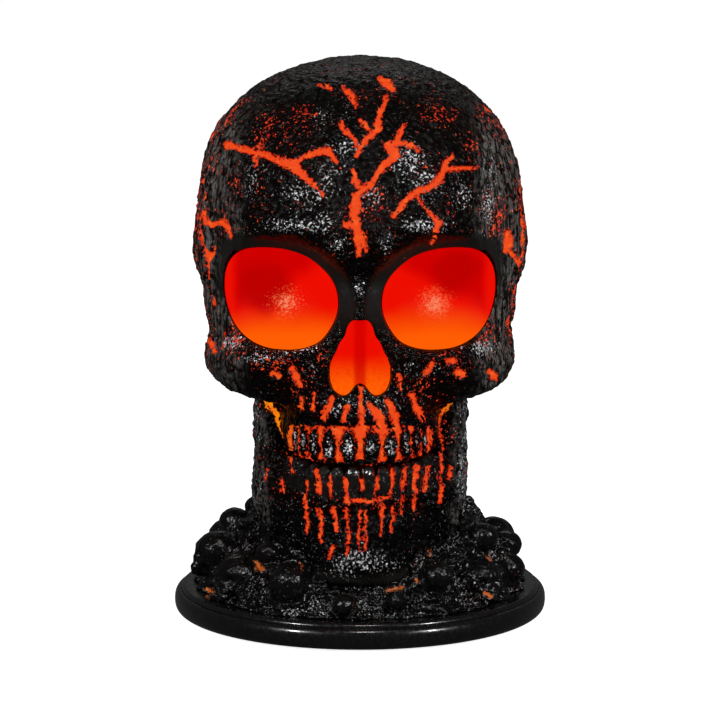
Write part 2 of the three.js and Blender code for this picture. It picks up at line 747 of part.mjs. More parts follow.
// Where the small skulls lie round the pile: compass angle from the front in degrees, how far
// out and how high as shares of the pile's reach and height, size share, whether a face shows,
// and how far it is turned aside and nods, in degrees.
const smallSkullShares = [
  [-29, 0.98, 0.27, 1.08, false, 0, 0],
  [-51, 0.99, 0.5, 0.98, true, 12, -8],
  [-71, 0.99, 0.66, 0.96, true, -10, -4],
  [-95, 0.86, 0.84, 0.86, false, 0, 0],
  [27, 0.94, 0.3, 0.76, false, 0, 0],
  [49, 0.99, 0.36, 0.98, true, -12, -6],
  [77, 0.98, 0.34, 0.78, false, 0, 0],
  [84, 0.88, 0.75, 0.8, true, 40, 0],
  [106, 0.94, 0.56, 0.9, false, 0, 0],
  [133, 0.99, 0.42, 1, true, 10, -4],
  [160, 0.96, 0.7, 0.94, true, -20, -6],
  [-166, 0.99, 0.36, 1.02, true, 8, -2],
  [-138, 0.96, 0.62, 0.98, true, 14, -8],
  [-114, 0.99, 0.4, 0.9, true, -12, -4],
];

// Rubble between the small skulls: a ring whose outline swells and sinks round the pile.
function rubble() {
  const columns = 26;
  const levelShares = [0, 0.4, 1];
  const slopeShares = [0, 0.15, 1];
  const rings = levelShares.map((level, row) =>
    Array.from({ length: columns }, (_, column) => {
      const angle = (column / columns) * 2 * Math.PI;
      const wave = Math.sin(9 * angle + 2 * row) + Math.sin(14 * angle - 1.7 * row);
      const radius = mix(pileFootRadius, pileTopRadius, slopeShares[row]) - Math.abs(wave) * rubbleSwell;
      const rise = mix(pileHeight, pileHeight * 0.8, 0.5 - 0.5 * Math.sin(5 * angle + 1));
      const front = 1 - 0.4 * smooth(0.86, 0.98, Math.cos(angle));
      const z = plinthTopZ + level * rise * front;
      return new THREE.Vector3(radius * Math.sin(angle), -radius * Math.cos(angle), z);
    }),
  );
  return solidOf(loft(rings));
}

function skullPile() {
  const skulls = smallSkullShares.map(([compass, out, up, size, hasFace, turn, nod]) => {
    const angle = THREE.MathUtils.degToRad(compass);
    const radius = pileReach * out - smallSkullRadius * size;
    const rise = plinthTopZ + pileHeight * up;
    const radians = THREE.MathUtils.degToRad;
    const matrix = new THREE.Matrix4().makeTranslation(
      radius * Math.sin(angle),
      -radius * Math.cos(angle),
      rise,
    );
    matrix.multiply(new THREE.Matrix4().makeRotationZ(angle + radians(turn)));
    matrix.multiply(new THREE.Matrix4().makeRotationX(radians(nod)));
    const scale = smallSkullRadius * size;
    return smallSkull(matrix.multiply(new THREE.Matrix4().makeScale(scale, scale, scale)), hasFace);
  });
  const core = headSkin(shellWall, innerGrid, pileSeatZ);
  const neck = headSkin(-seatGap, outerGrid, pileSeatZ).intersect(
    behindSeam(seamY - seatGap, pileSeatZ, crownZ),
  );
  const screwSpots = [
    [rearBossX, rearBossY],
    [-rearBossX, rearBossY],
    [jawBossX, jawBossY],
    [-jawBossX, jawBossY],
  ];
  const holes = screwSpots.flatMap(([x, y]) => [
    rod(screwShankRadius + seatGap, pileSeatBottomZ - overrun, pileSeatZ + overrun, x, y, 6),
    rod(screwHeadRadius + seatGap, -overrun, pileSeatBottomZ, x, y, 8),
  ]);
  const jawBosses = [-1, 1].map((side) =>
    rod(screwBossRadius + seatGap, pileSeatZ, crownZ / 2, side * jawBossX, jawBossY),
  );
  const under = boxBetween(-plinthDiameter, plinthDiameter, -plinthDiameter, plinthDiameter, -overrun, plinthTopZ);
  return cut(
    join(rubble(), ...skulls),
    under,
    rod(pileCaveRadius, -overrun, pileSeatBottomZ, 0, 0, 24),
    rod(pileHoleRadius, -overrun, crownZ, 0, 0, 16),
    core,
    neck,
    jawWall(seatGap),
    ...jawBosses,
    ...holes,
  );
}

// Plinth: a turned ring with two beads and a flat top, hollow below, with four screw bosses.
function plinth() {
  const path = new THREE.Path();
  const lowX = plinthRadius - lowerBeadRadius;
  const lowZ = rimLift + lowerBeadRadius;
  const highX = plinthRadius - upperBeadInset - upperBeadRadius;
  const highZ = lowZ + lowerBeadRadius + upperBeadRadius * 0.8;
  path.moveTo(plateRadius + seatGap, rimLift);
  path.lineTo(lowX, rimLift);
  path.absarc(lowX, lowZ, lowerBeadRadius, -Math.PI / 2, Math.PI / 2, false);
  path.absarc(highX, highZ, upperBeadRadius, -Math.PI / 3, Math.PI / 2, false);
  path.lineTo(highX - upperBeadRadius, plinthTopZ);
  path.lineTo(deckHoleRadius, plinthTopZ);
  path.lineTo(deckHoleRadius, plinthTopZ - deckThickness);
  path.lineTo(plinthLedgeRadius, plinthTopZ - deckThickness);
  path.lineTo(plinthLedgeRadius, plateTopZ);
  path.lineTo(plateRadius + seatGap, plateTopZ);
  path.lineTo(plateRadius + seatGap, rimLift);
  const ring = solidOf(turned(path.getPoints(2), 36));
  const bosses = [];
  const holes = [];
  for (const [x, y] of aroundCircle(4, plateScrewCircle, Math.PI / 4)) {
    bosses.push(rod(screwBossRadius, plateTopZ, plinthTopZ - deckThickness / 2, x, y, 8));
    holes.push(rod(screwShankRadius + seatGap, -overrun, plinthTopZ - seatGap, x, y, 6));
  }
  return cut(join(ring, ...bosses), ...holes);
}

// Evenly spaced places on a circle.
function aroundCircle(count, radius, start) {
  return Array.from({ length: count }, (_, i) => {
    const angle = start + (i / count) * 2 * Math.PI;
    return [radius * Math.cos(angle), radius * Math.sin(angle)];
  });
}

const doorX0 = -doorLength / 2;
const doorX1 = doorLength / 2;
const doorAxisX = doorX0 + doorThickness / 2;
const doorAxisZ = plateBottomZ + doorThickness / 2;

// A rod along Y, for the door's hinge.
function pinAlongY(radius, y0, y1, sides) {
  const geometry = new THREE.CylinderGeometry(radius, radius, y1 - y0, sides);
  return solidOf(geometry.translate(doorAxisX, (y0 + y1) / 2, doorAxisZ));
}

// Base plate: closes the plinth from below, with the battery window and the switch slot.
function basePlate() {
  const disc = rod(plateRadius, plateBottomZ, plateTopZ, 0, 0, 40);
  const window = boxBetween(
    doorX0 - seatGap,
    doorX1 + seatGap,
    -doorWidth / 2 - seatGap,
    doorWidth / 2 + seatGap,
    plateBottomZ - overrun,
    plateTopZ + overrun,
  );
  const pinReach = doorWidth / 2 + doorPinLength + seatGap;
  const pinHole = pinAlongY(doorPinRadius + doorPinPlay, -pinReach, pinReach, 12);
  const latchSlot = boxBetween(
    doorX1,
    doorX1 + latchReach + seatGap,
    -latchWidth / 2 - seatGap,
    latchWidth / 2 + seatGap,
    plateBottomZ - overrun,
    plateBottomZ + latchThickness + seatGap,
  );
  const knobSlot = boxBetween(
    -knobLength / 2 - seatGap,
    knobLength / 2 + knobTravel + seatGap,
    switchY - knobDepth / 2 - seatGap,
    switchY + knobDepth / 2 + seatGap,
    plateBottomZ - overrun,
    plateTopZ + overrun,
  );
  const holes = aroundCircle(4, plateScrewCircle, Math.PI / 4).flatMap(([x, y]) => [
    rod(screwShankRadius + seatGap, -overrun, plateTopZ + overrun, x, y, 8),
    rod(screwHeadRadius + seatGap, -overrun, plateBottomZ + counterboreDepth, x, y, 12),
  ]);
  return cut(disc, window, pinHole, latchSlot, knobSlot, ...holes);
}

// Battery door: a plate with a rounded hinge edge, two pins, a latch tongue and a thumb hollow.
function batteryDoor() {
  const plate = boxBetween(
    doorAxisX,
    doorX1,
    -doorWidth / 2,
    doorWidth / 2,
    plateBottomZ,
    plateBottomZ + doorThickness,
  );
  const knuckle = pinAlongY(doorThickness / 2, -doorWidth / 2, doorWidth / 2, 16);
  const reach = doorWidth / 2 + doorPinLength;
  const pin = pinAlongY(doorPinRadius, -reach, reach, 10);
  const latch = boxBetween(
    doorX1 - latchReach,
    doorX1 + latchReach,
    -latchWidth / 2,
    latchWidth / 2,
    plateBottomZ,
    plateBottomZ + latchThickness,
  );
  const thumb = ellipsoid(
    thumbRadius / 2,
    thumbRadius,
    thumbDepth,
    doorX1 - thumbInset,
    0,
    plateBottomZ,
    0,
    12,
    6,
  );
  return cut(join(plate, knuckle, pin, latch), thumb);
}

// Battery box: an open-bottomed tub over the cells, with low fences between them.
function batteryBox() {
  const halfLength = pocketLength / 2;
  const halfWidth = pocketWidth / 2;
  const outer = boxBetween(
    -halfLength - boxWall,
    halfLength + boxWall,
    -halfWidth - boxWall,
    halfWidth + boxWall,
    plateTopZ,
    boxTopZ,
  );
  const pocket = boxBetween(
    -halfLength,
    halfLength,
    -halfWidth,
    halfWidth,
    plateTopZ - overrun,
    boxTopZ - boxWall,
  );
  const topHole = rod(wireHoleRadius, boxTopZ - 2 * boxWall, crownZ, wireExitX, wireExitY, 10);
  const sideHole = boxBetween(
    plusWireX - wireHoleRadius,
    plusWireX + wireHoleRadius,
    0,
    plinthRadius,
    cellAxisZ - wireHoleRadius,
    cellAxisZ + wireHoleRadius,
  );
  return cut(outer, pocket, topHole, sideHole);
}

// A dry cell lying along X, its nub towards +X.
function cell() {
  const profile = [
    [0, -cellLength / 2],
    [cellRadius, -cellLength / 2],
    [cellRadius, cellLength / 2],
    [cellNubRadius, cellLength / 2],
    [cellNubRadius, cellLength / 2 + cellNubLength],
    [0, cellLength / 2 + cellNubLength],
  ];
  return turned(profile, 12).rotateY(Math.PI / 2);
}

// A contact spring along X: one unbroken wire.
class SpringCurve extends THREE.Curve {
  getPoint(t, target = new THREE.Vector3()) {
    const angle = t * springTurns * 2 * Math.PI;
    const length = springRoom - 2 * (contactThickness + springWire + springEndGap);
    const radius = springRadius * (1 - 0.25 * t);
    return target.set(t * length, radius * Math.cos(angle), radius * Math.sin(angle));
  }
}

function wireSection(radius, sides) {
  const shape = new THREE.Shape();
  for (let side = 0; side < sides; side++) {
    const angle = (side / sides) * 2 * Math.PI;
    if (side === 0) shape.moveTo(radius, 0);
    else shape.lineTo(radius * Math.cos(angle), radius * Math.sin(angle));
  }
  return shape;
}

function contactSpring() {
  const steps = springTurns * springStepsPerTurn;
  return new THREE.ExtrudeGeometry(wireSection(springWire, 4), {
    steps,
    extrudePath: new SpringCurve(),
  });
}

// A flat contact on an end wall of the box, over one cell or linking two.
function contactPlate(cells) {
  const width = contactWidth + (cells - 1) * cellPitch;
  return new THREE.BoxGeometry(contactThickness, width, contactHeight);
}

// A pan-head screw with its head at the origin's level and its shank upwards.
function screw(length) {
  const body = join(
    rod(screwHeadRadius, 0, screwHeadHeight, 0, 0, 8),
    rod(screwShankRadius, screwHeadHeight / 2, screwHeadHeight + length, 0, 0, 5),
  );
  const slot = (turn) => {
    const geometry = new THREE.BoxGeometry(screwHeadRadius * 1.2, screwSlotWidth, 2 * screwSlotDepth);
    return solidOf(geometry.rotateZ(turn));
  };
  return geometryOf(cut(body, slot(0), slot(Math.PI / 2)));
}

function rubberFoot() {
  const edge = footThickness / 4;
  const profile = [
    [0, 0],
    [footRadius - edge, 0],
    [footRadius, edge],
    [footRadius, footThickness],
    [0, footThickness],
  ];
  return turned(profile, 12);
}

// Slide switch: its metal case, open below for the knob.
function switchBody() {
  const reach = switchLength / 2;
  const centreX = knobTravel / 2;
  const outer = boxBetween(
    centreX - reach,
    centreX + reach,
    -switchDepth / 2,
    switchDepth / 2,
    plateTopZ,
    plateTopZ + switchHeight,
  );
  const track = boxBetween(
    -knobLength / 2 - seatGap,
    knobLength / 2 + knobTravel + seatGap,
    -knobDepth / 2 - seatGap,
    knobDepth / 2 + seatGap,
    plateTopZ - overrun,
    plateTopZ + knobInside + seatGap,
  );
  return cut(outer, track);
}

function switchKnob() {
  const low = plateBottomZ - knobProud;
  const block = boxBetween(
    -knobLength / 2,
    knobLength / 2,
    -knobDepth / 2,
    knobDepth / 2,
    low,
    plateTopZ + knobInside,
  );
  const grooves = Array.from({ length: knobRibs }, (_, i) => {
    const x = (i - (knobRibs - 1) / 2) * (knobLength / (knobRibs + 1));
    return boxBetween(
      x - knobGrooveWidth / 2,
      x + knobGrooveWidth / 2,
      -overrun,
      overrun,
      low - overrun,
      low + knobGrooveDepth,
    );
  });
  return cut(block, ...grooves);
}

// LED post: a flanged tube from the battery box up to the board, slotted for the wires.
const boardBottomZ = boardTopZ - boardThickness;
function ledPost() {
  const profile = [
    [postRadius - postWall, boxTopZ],
    [postFlangeRadius, boxTopZ],
    [postFlangeRadius, boxTopZ + postFlangeThickness],
    [postRadius, boxTopZ + postFlangeThickness],
    [postRadius, boardBottomZ - postFlangeThickness],
    [postHeadRadius, boardBottomZ],
    [postRadius - postWall, boardBottomZ],
    [postRadius - postWall, boxTopZ],
  ];
  return solidOf(turned(profile, 14));
}

function ledBoard() {
  const disc = rod(boardRadius, boardBottomZ, boardTopZ, 0, 0, 24);
  const wireHoles = [-1, 1].map((side) =>
    rod(wireRadius + seatGap, -overrun, crownZ, side * (boardRadius - postWall * 1.5), 0, 10),
  );
  return cut(disc, ...wireHoles);
}

// A 5 mm LED standing on the board.
function led() {
  const dome = Array.from({ length: 4 }, (_, i) => {
    const angle = (i / 3) * (Math.PI / 2);
    return [ledRadius * Math.cos(angle), ledHeight - ledRadius + ledRadius * Math.sin(angle)];
  });
  dome[3][0] = 0;
  return turned([[0, 0], [ledRimRadius, 0], [ledRimRadius, ledRimHeight], [ledRadius, ledRimHeight], ...dome], 8);
}

// Wires inside the lamp, along smooth routes through chosen points.
function wire(points) {
  const path = new THREE.CatmullRomCurve3(points.map((p) => new THREE.Vector3(...p)));
  const steps = Math.ceil(path.getLength() / (wireRadius * 7));
  return new THREE.ExtrudeGeometry(wireSection(wireRadius, 5), { steps, extrudePath: path });
}

const wireExitX = -14.5;
const wireExitY = 9;
const plusWireX = 20.5;
const wireRiseY = pocketWidth / 2 + boxWall + 2.5 * wireRadius;
const switchTopZ = plateTopZ + switchHeight;
const switchWireX = -1.5;
const switchWireZ = plateTopZ + switchHeight / 2;
const switchEndX = (knobTravel + switchLength) / 2;
const boardHoleX = boardRadius - postWall * 1.5;
const wireSideX = postRadius + 4 * wireRadius;

const materials = {
  lavaShell: { color: 0x14100e, roughness: 0.35, metalness: 0 },
  glow: { color: 0xff3a0a, roughness: 0.4, metalness: 0 },
  gloss: { color: 0x0b0b0c, roughness: 0.3, metalness: 0 },
  plate: { color: 0x1b1b1d, roughness: 0.6, metalness: 0 },
  rubber: { color: 0x101010, roughness: 0.9, metalness: 0 },
  steel: { color: 0xb9bcc0, roughness: 0.35, metalness: 1 },
  cellCase: { color: 0x2d5fa8, roughness: 0.4, metalness: 0.3 },
  board: { color: 0xe8e6dc, roughness: 0.5, metalness: 0 },
  led: { color: 0xff7a1a, roughness: 0.15, metalness: 0 },
  redWire: { color: 0xc01818, roughness: 0.5, metalness: 0 },
  blackWire: { color: 0x151515, roughness: 0.5, metalness: 0 },
};

function mesh(name, shape, finish, x = 0, y = 0, z = 0) {
  const geometry = shape.isBufferGeometry ? shape : geometryOf(shape);
  const made = new THREE.Mesh(geometry, new THREE.MeshStandardMaterial(materials[finish]));
  made.name = name;
  made.position.set(x, y, z);
  return made;
}

const head = new THREE.Group();
head.add(
  mesh('face_shell', faceShell(), 'lavaShell'),
  mesh('rear_shell', rearShell(), 'lavaShell'),
  mesh('lower_jaw', lowerJaw(), 'lavaShell'),
  mesh('eye_insert_left', eyeInsert(-1), 'glow'),
  mesh('eye_insert_right', eyeInsert(1), 'glow'),
  mesh('nose_insert', noseInsert(), 'glow'),
);

const base = new THREE.Group();
base.add(
  mesh('plinth', plinth(), 'gloss'),
  mesh('skull_pile', skullPile(), 'gloss'),
  mesh('base_plate', basePlate(), 'plate'),
  mesh('battery_door', batteryDoor(), 'plate'),
);
aroundCircle(4, footCircle, 0).forEach(([x, y], i) => {
  base.add(mesh(`rubber_foot_${i + 1}`, rubberFoot(), 'rubber', x, y, 0));
});
const plateScrewZ = plateBottomZ + counterboreDepth - screwHeadHeight;
aroundCircle(4, plateScrewCircle, Math.PI / 4).forEach(([x, y], i) => {
  base.add(mesh(`plate_screw_${i + 1}`, screw(plateScrewLength - screwHeadHeight), 'steel', x, y, plateScrewZ));
});
const headScrewLength = pileSeatThickness + bossHeight / 2;
const headScrewSpots = [
  [-rearBossX, rearBossY],
  [rearBossX, rearBossY],
  [-jawBossX, jawBossY],
  [jawBossX, jawBossY],
];
headScrewSpots.forEach(([x, y], i) => {
  const z = pileSeatBottomZ - screwHeadHeight;
  base.add(mesh(`head_screw_${i + 1}`, screw(headScrewLength), 'steel', x, y, z));
});

const electrics = new THREE.Group();
electrics.add(
  mesh('battery_box', batteryBox(), 'plate'),
  mesh('switch_body', switchBody(), 'steel', 0, switchY, 0),
  mesh('switch_knob', switchKnob(), 'plate', 0, switchY, 0),
  mesh('led_post', ledPost(), 'plate'),
  mesh('led_board', ledBoard(), 'board'),
);
for (let i = 0; i < cellCount; i++) {
  const way = i % 2 ? -1 : 1;
  const y = (i - (cellCount - 1) / 2) * cellPitch;
  const cellX = (pocketLength - cellLength) / 2 - contactThickness - cellNubLength;
  const battery = mesh(`battery_${i + 1}`, cell(), 'cellCase', way * cellX, y, cellAxisZ);
  battery.rotation.z = way > 0 ? 0 : Math.PI;
  const wall = -way * (pocketLength / 2 - contactThickness - springWire - springEndGap);
  const spring = mesh(`contact_spring_${i + 1}`, contactSpring(), 'steel', wall, y, cellAxisZ);
  spring.rotation.z = battery.rotation.z;
  electrics.add(battery, spring);
}
const contactX = pocketLength / 2 - contactThickness / 2;
electrics.add(
  mesh('contact_minus', contactPlate(1), 'steel', -contactX, -cellPitch, cellAxisZ),
  mesh('contact_link_front', contactPlate(2), 'steel', contactX, -cellPitch / 2, cellAxisZ),
  mesh('contact_link_back', contactPlate(2), 'steel', -contactX, cellPitch / 2, cellAxisZ),
  mesh('contact_plus', contactPlate(1), 'steel', contactX, cellPitch, cellAxisZ),
);
aroundCircle(ledCount, ledCircle, -Math.PI / 2).forEach(([x, y], i) => {
  electrics.add(mesh(`led_${i + 1}`, led(), 'led', x, y, boardTopZ));
});
electrics.add(
  mesh(
    'wire_minus',
    wire([
      [wireExitX, wireExitY, boxTopZ - boxWall / 2],
      [wireExitX, wireExitY, boxTopZ + 4 * wireRadius],
      [-wireSideX - 2 * wireRadius, wireExitY / 2, mix(boxTopZ, boardBottomZ, 0.25)],
      [-wireSideX, 0, mix(boxTopZ, boardBottomZ, 0.5)],
      [-boardHoleX, 0, mix(boxTopZ, boardBottomZ, 0.85)],
      [-boardHoleX, 0, boardTopZ + wireRadius],
    ]),
    'blackWire',
  ),
  mesh(
    'wire_switched',
    wire([
      [switchWireX, switchY, switchTopZ + seatGap],
      [switchWireX, switchY, switchTopZ + 4 * wireRadius],
      [switchWireX, wireRiseY + 3 * wireRadius, mix(switchTopZ, pileSeatZ, 0.6)],
      [switchWireX, wireRiseY, pileSeatZ],
      [wireSideX, postRadius, mix(boxTopZ, boardBottomZ, 0.35)],
      [boardHoleX, 0, mix(boxTopZ, boardBottomZ, 0.85)],
      [boardHoleX, 0, boardTopZ + wireRadius],
    ]),
    'redWire',
  ),
  mesh(
    'wire_plus',
    wire([
      [plusWireX, pocketWidth / 2 + boxWall / 2, cellAxisZ],
      [plusWireX, switchY - 3 * switchDepth / 2, cellAxisZ],
      [switchEndX + switchDepth, switchY, switchWireZ],
      [switchEndX + seatGap, switchY, switchWireZ],
    ]),
    'redWire',
  ),
  mesh('resistor', new THREE.BoxGeometry(...resistorSize), 'gloss', 0, 0, boardTopZ + resistorSize[2] / 2),
);

const lamp = new THREE.Group();
lamp.add(head, base, electrics);

export default lamp;
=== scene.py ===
import json
import math

import bpy
import numpy as np
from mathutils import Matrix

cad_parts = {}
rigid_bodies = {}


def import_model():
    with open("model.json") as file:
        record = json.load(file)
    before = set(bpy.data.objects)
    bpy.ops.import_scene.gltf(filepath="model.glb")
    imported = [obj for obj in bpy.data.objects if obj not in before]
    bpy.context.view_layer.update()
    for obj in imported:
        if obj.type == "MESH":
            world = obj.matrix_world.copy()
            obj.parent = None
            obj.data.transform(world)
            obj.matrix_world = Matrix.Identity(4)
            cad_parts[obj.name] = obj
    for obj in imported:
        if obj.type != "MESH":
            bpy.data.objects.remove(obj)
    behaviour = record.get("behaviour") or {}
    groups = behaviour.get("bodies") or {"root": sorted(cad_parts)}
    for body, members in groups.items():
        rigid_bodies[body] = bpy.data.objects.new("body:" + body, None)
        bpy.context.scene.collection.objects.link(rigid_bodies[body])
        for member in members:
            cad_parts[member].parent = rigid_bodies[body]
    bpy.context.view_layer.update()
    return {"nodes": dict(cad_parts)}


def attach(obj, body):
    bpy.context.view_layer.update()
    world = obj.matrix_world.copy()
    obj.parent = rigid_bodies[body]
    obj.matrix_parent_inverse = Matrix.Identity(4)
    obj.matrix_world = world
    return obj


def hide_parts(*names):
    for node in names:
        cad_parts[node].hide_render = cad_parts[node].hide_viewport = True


# Skull table lamp: a black, lava-cracked skull on a round plinth, in a pile of small skulls.
# Lengths are in millimetres until a mesh is made. The face looks along -Y.

for left in list(bpy.data.objects):
    bpy.data.objects.remove(left)
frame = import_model()
mm = 0.001
print("frame loaded:", len(frame["nodes"]), "nodes")

# camera: straight in front, looking down a little through a long lens
shot = {"elevation": 12.0, "distance": 3.0, "lens": 423.0, "aimHeight": 0.0908}

tilt = math.radians(shot["elevation"])
lean = math.tan(tilt)
camera = bpy.data.objects.new("camera", bpy.data.cameras.new("camera"))
camera.data.lens = shot["lens"]
camera.data.sensor_width = 36.0
camera.location = (
    0, -shot["distance"] * math.cos(tilt), shot["aimHeight"] + shot["distance"] * math.sin(tilt))
camera.rotation_euler = (math.pi / 2 - tilt, 0, 0)
bpy.context.scene.collection.objects.link(camera)
bpy.context.scene.camera = camera


def ease(low, high, value):
    # smooth step: 0 below low, 1 above high, a cubic between them
    t = np.clip((value - low) / (high - low), 0.0, 1.0)
    return t * t * (3 - 2 * t)


def mix(a, b, t):
    return a + (b - a) * t


def bump(across, up):
    # round swelling: e to the minus square of the distance
    return np.exp(-across ** 2 - up ** 2)


def bumps(places, across, up):
    # one swelling for each place: across, up, half sizes, strength
    return [strength * bump((across - x) / wide, (up - z) / tall) for x, z, wide, tall, strength in places]


def hashed(cells, seed):
    # one number from 0 to 1 for each whole-numbered cell, from mixed bits
    n = cells[..., 0] * 73856093 ^ cells[..., 1] * 19349663 ^ cells[..., 2] * 83492791
    n = (n ^ (seed * 40503 + 977)) & 0x7FFFFFFF
    n = ((n ^ (n >> 15)) * 0x2C1B3C6D) & 0x7FFFFFFF
    n = ((n ^ (n >> 12)) * 0x297A2D39) & 0x7FFFFFFF
    return ((n ^ (n >> 15)) & 0xFFFFFF) / float(0xFFFFFF)


def softNoise(points, size, seed):
    # value noise from -1 to 1: random corner values blended by a quintic in each direction
    p = points / size
    low = np.floor(p).astype(np.int64)
    f = p - low
    f = f * f * f * (f * (f * 6 - 15) + 10)
    total = np.zeros(len(points))
    for dx in (0, 1):
        wx = f[:, 0] if dx else 1 - f[:, 0]
        for dy in (0, 1):
            wy = f[:, 1] if dy else 1 - f[:, 1]
            for dz in (0, 1):
                wz = f[:, 2] if dz else 1 - f[:, 2]
                total += hashed(low + np.array([dx, dy, dz]), seed) * wx * wy * wz
    return total * 2 - 1


def roughNoise(points, size, seed, octaves=3):
    # the same noise at halving sizes and halving heights
    total = np.zeros(len(points))
    height = 1.0
    for octave in range(octaves):
        total += softNoise(points, size / 2 ** octave, seed + octave) * height
        height *= 0.5
    return total


def cellNoise(points, size, seed):
    # distance to the nearest of one random point per cell, in cells
    p = points / size
    low = np.floor(p).astype(np.int64)
    nearest = np.full(len(points), 9.0)
    for dx in (-1, 0, 1):
        for dy in (-1, 0, 1):
            for dz in (-1, 0, 1):
                cell = low + np.array([dx, dy, dz])
                spot = cell + np.stack([hashed(cell, seed + k) for k in range(3)], axis=-1)
                nearest = np.minimum(nearest, ((spot - p) ** 2).sum(axis=-1))
    return np.sqrt(nearest)


def makeObject(name, points, quads, triangles=None):
    # whole arrays into a mesh, millimetres to metres
    triangles = np.zeros((0, 3), int) if triangles is None else triangles
    mesh = bpy.data.meshes.new(name)
    loops = np.concatenate([quads.ravel(), triangles.ravel()]).astype(np.int32)
    starts = np.concatenate([np.arange(len(quads)) * 4, quads.size + np.arange(len(triangles)) * 3])
    mesh.vertices.add(len(points))
    mesh.vertices.foreach_set("co", (points * mm).astype(np.float32).ravel())
    mesh.loops.add(len(loops))
    mesh.loops.foreach_set("vertex_index", loops)
    mesh.polygons.add(len(starts))
    mesh.polygons.foreach_set("loop_start", starts.astype(np.int32))
    mesh.update(calc_edges=True)
    mesh.validate()
    mesh.polygons.foreach_set("use_smooth", np.ones(len(mesh.polygons), bool))
    made = bpy.data.objects.new(name, mesh)
    bpy.context.scene.collection.objects.link(made)
    return made


def gridFaces(rows, columns):
    # quads between neighbouring rows of closed rings, and the two pole fans' triangles
    r, c = np.meshgrid(np.arange(rows - 1), np.arange(columns), indexing="ij")
    a = r * columns + c
    b = r * columns + (c + 1) % columns
    quads = np.stack([a, b, b + columns, a + columns], axis=-1).reshape(-1, 4)
    c = np.arange(columns)
    after, last, pole = (c + 1) % columns, (rows - 1) * columns, rows * columns + 0 * c
    low = np.stack([pole, after, c], axis=-1)
    high = np.stack([pole + 1, last + c, last + after], axis=-1)
    return quads, np.concatenate([low, high])


def closedGrid(grid):
    # a grid of rings as points, quads and triangles, closed by a fan at each end
    rows, columns, _ = grid.shape
    points = np.concatenate([grid.reshape(-1, 3), grid[[0, -1]].mean(axis=1)])
    return (points, *gridFaces(rows, columns))


def joined(parts):
    # several closed grids as one mesh's arrays
    points, quads, triangles, offset = [], [], [], 0
    for p, q, t in parts:
        points.append(p)
        quads.append(q + offset)
        triangles.append(t + offset)
        offset += len(p)
    return np.concatenate(points), np.concatenate(quads), np.concatenate(triangles)


def modified(target, kind, **settings):
    # adds one modifier and applies it
    modifier = target.modifiers.new(kind, kind)
    for key, value in settings.items():
        setattr(modifier, key, value)
    bpy.context.view_layer.update()
    shape = bpy.data.meshes.new_from_object(target.evaluated_get(bpy.context.evaluated_depsgraph_get()))
    target.modifiers.clear()
    old = target.data
    target.data = shape
    bpy.data.meshes.remove(old)
    return target


def carved(target, cutter, operation="DIFFERENCE"):
    # one boolean, after which the cutter is gone
    modified(target, "BOOLEAN", object=cutter, operation=operation, solver="MANIFOLD")
    bpy.data.objects.remove(cutter)
    return target


def fused(target, voxel, smoothing):
    # one skin round all the closed forms in a mesh
    modified(target, "REMESH", mode="VOXEL", voxel_size=voxel * mm, use_smooth_shade=True)
    return modified(target, "SMOOTH", factor=0.5, iterations=smoothing)


def readPoints(target):
    # a mesh's points in millimetres, and their normals
    points, normals = np.empty((2, len(target.data.vertices) * 3), np.float32)
    target.data.vertices.foreach_get("co", points)
    target.data.vertex_normals.foreach_get("vector", normals)
    return points.reshape(-1, 3).astype(float) / mm, normals.reshape(-1, 3).astype(float)


def writePoints(target, points):
    # new places for a mesh's points, in millimetres
    target.data.vertices.foreach_set("co", (points * mm).astype(np.float32).ravel())
    target.data.update()


def paint(target, name, values):
    # one value per point, which the crust's finish reads by its name
    layer = target.data.attributes.new(name, "FLOAT", "POINT")
    layer.data.foreach_set("value", values.astype(np.float32))


def tool(grid):
    # a closed grid as a cutter
    return makeObject("tool", *closedGrid(grid))


def box(low, high):
    # a cutter between two corners
    low, high = np.array(low, float), np.array(high, float)
    corners = np.array([[x, y, z] for z in (0, 1) for y in (0, 1) for x in (0, 1)])
    quads = np.array([[0, 2, 3, 1], [4, 5, 7, 6], [0, 1, 5, 4], [2, 6, 7, 3], [0, 4, 6, 2], [1, 3, 7, 5]])
    return makeObject("tool", low + corners * (high - low), quads)


def closedCurve(shares, rounding):
    # reach of a closed outline for each of 360 turns, from its corners, rounded by a short average
    corners = np.array(shares)
    turn = np.arctan2(corners[:, 1], corners[:, 0])
    order = np.argsort(turn)
    every = np.radians(np.arange(360)) - math.pi
    reach = np.interp(every, turn[order], np.hypot(*corners.T)[order], period=2 * math.pi)
    for _ in range(rounding):
        reach = (np.roll(reach, 2) + 2 * reach + np.roll(reach, -2)) / 4
    return every, reach


def reachAt(curve, turn):
    # reach of a closed curve at any turn
    return np.interp(turn, *curve, period=2 * math.pi)


# an eye socket: its outline in shares of its half sizes, outwards from the nose and up, and the bevel
# round its rim, least at the outer foot and most at the upper inner corner, with a ridge above it
socket = {
    "x": 27.2, "z": 123.2, "halfWidth": 20.0, "halfHeight": 17.9, "bottomY": -26.0, "rounding": 14,
    "outlineShares": [
        (1.03, 0.04), (1.02, 0.19), (0.955, 0.48), (0.83, 0.71), (0.62, 0.84), (0.35, 0.89), (0.1, 0.9),
        (-0.2, 0.86), (-0.43, 0.77), (-0.66, 0.58), (-0.84, 0.37), (-0.965, 0.1), (-0.995, -0.15),
        (-0.945, -0.44), (-0.81, -0.71), (-0.61, -0.93), (-0.33, -1.05), (0.02, -1.085), (0.39, -1.065),
        (0.67, -0.96), (0.87, -0.74), (0.98, -0.44), (1.03, -0.12)],
    "bevelShares": (0.06, 0.42), "bevelDepths": (0.8, 5.2), "bevelTurn": 122.0, "bevelSpread": 76.0,
    "ridge": 1.7, "ridgeShare": 0.13, "ridgeBand": (118, 136),
}
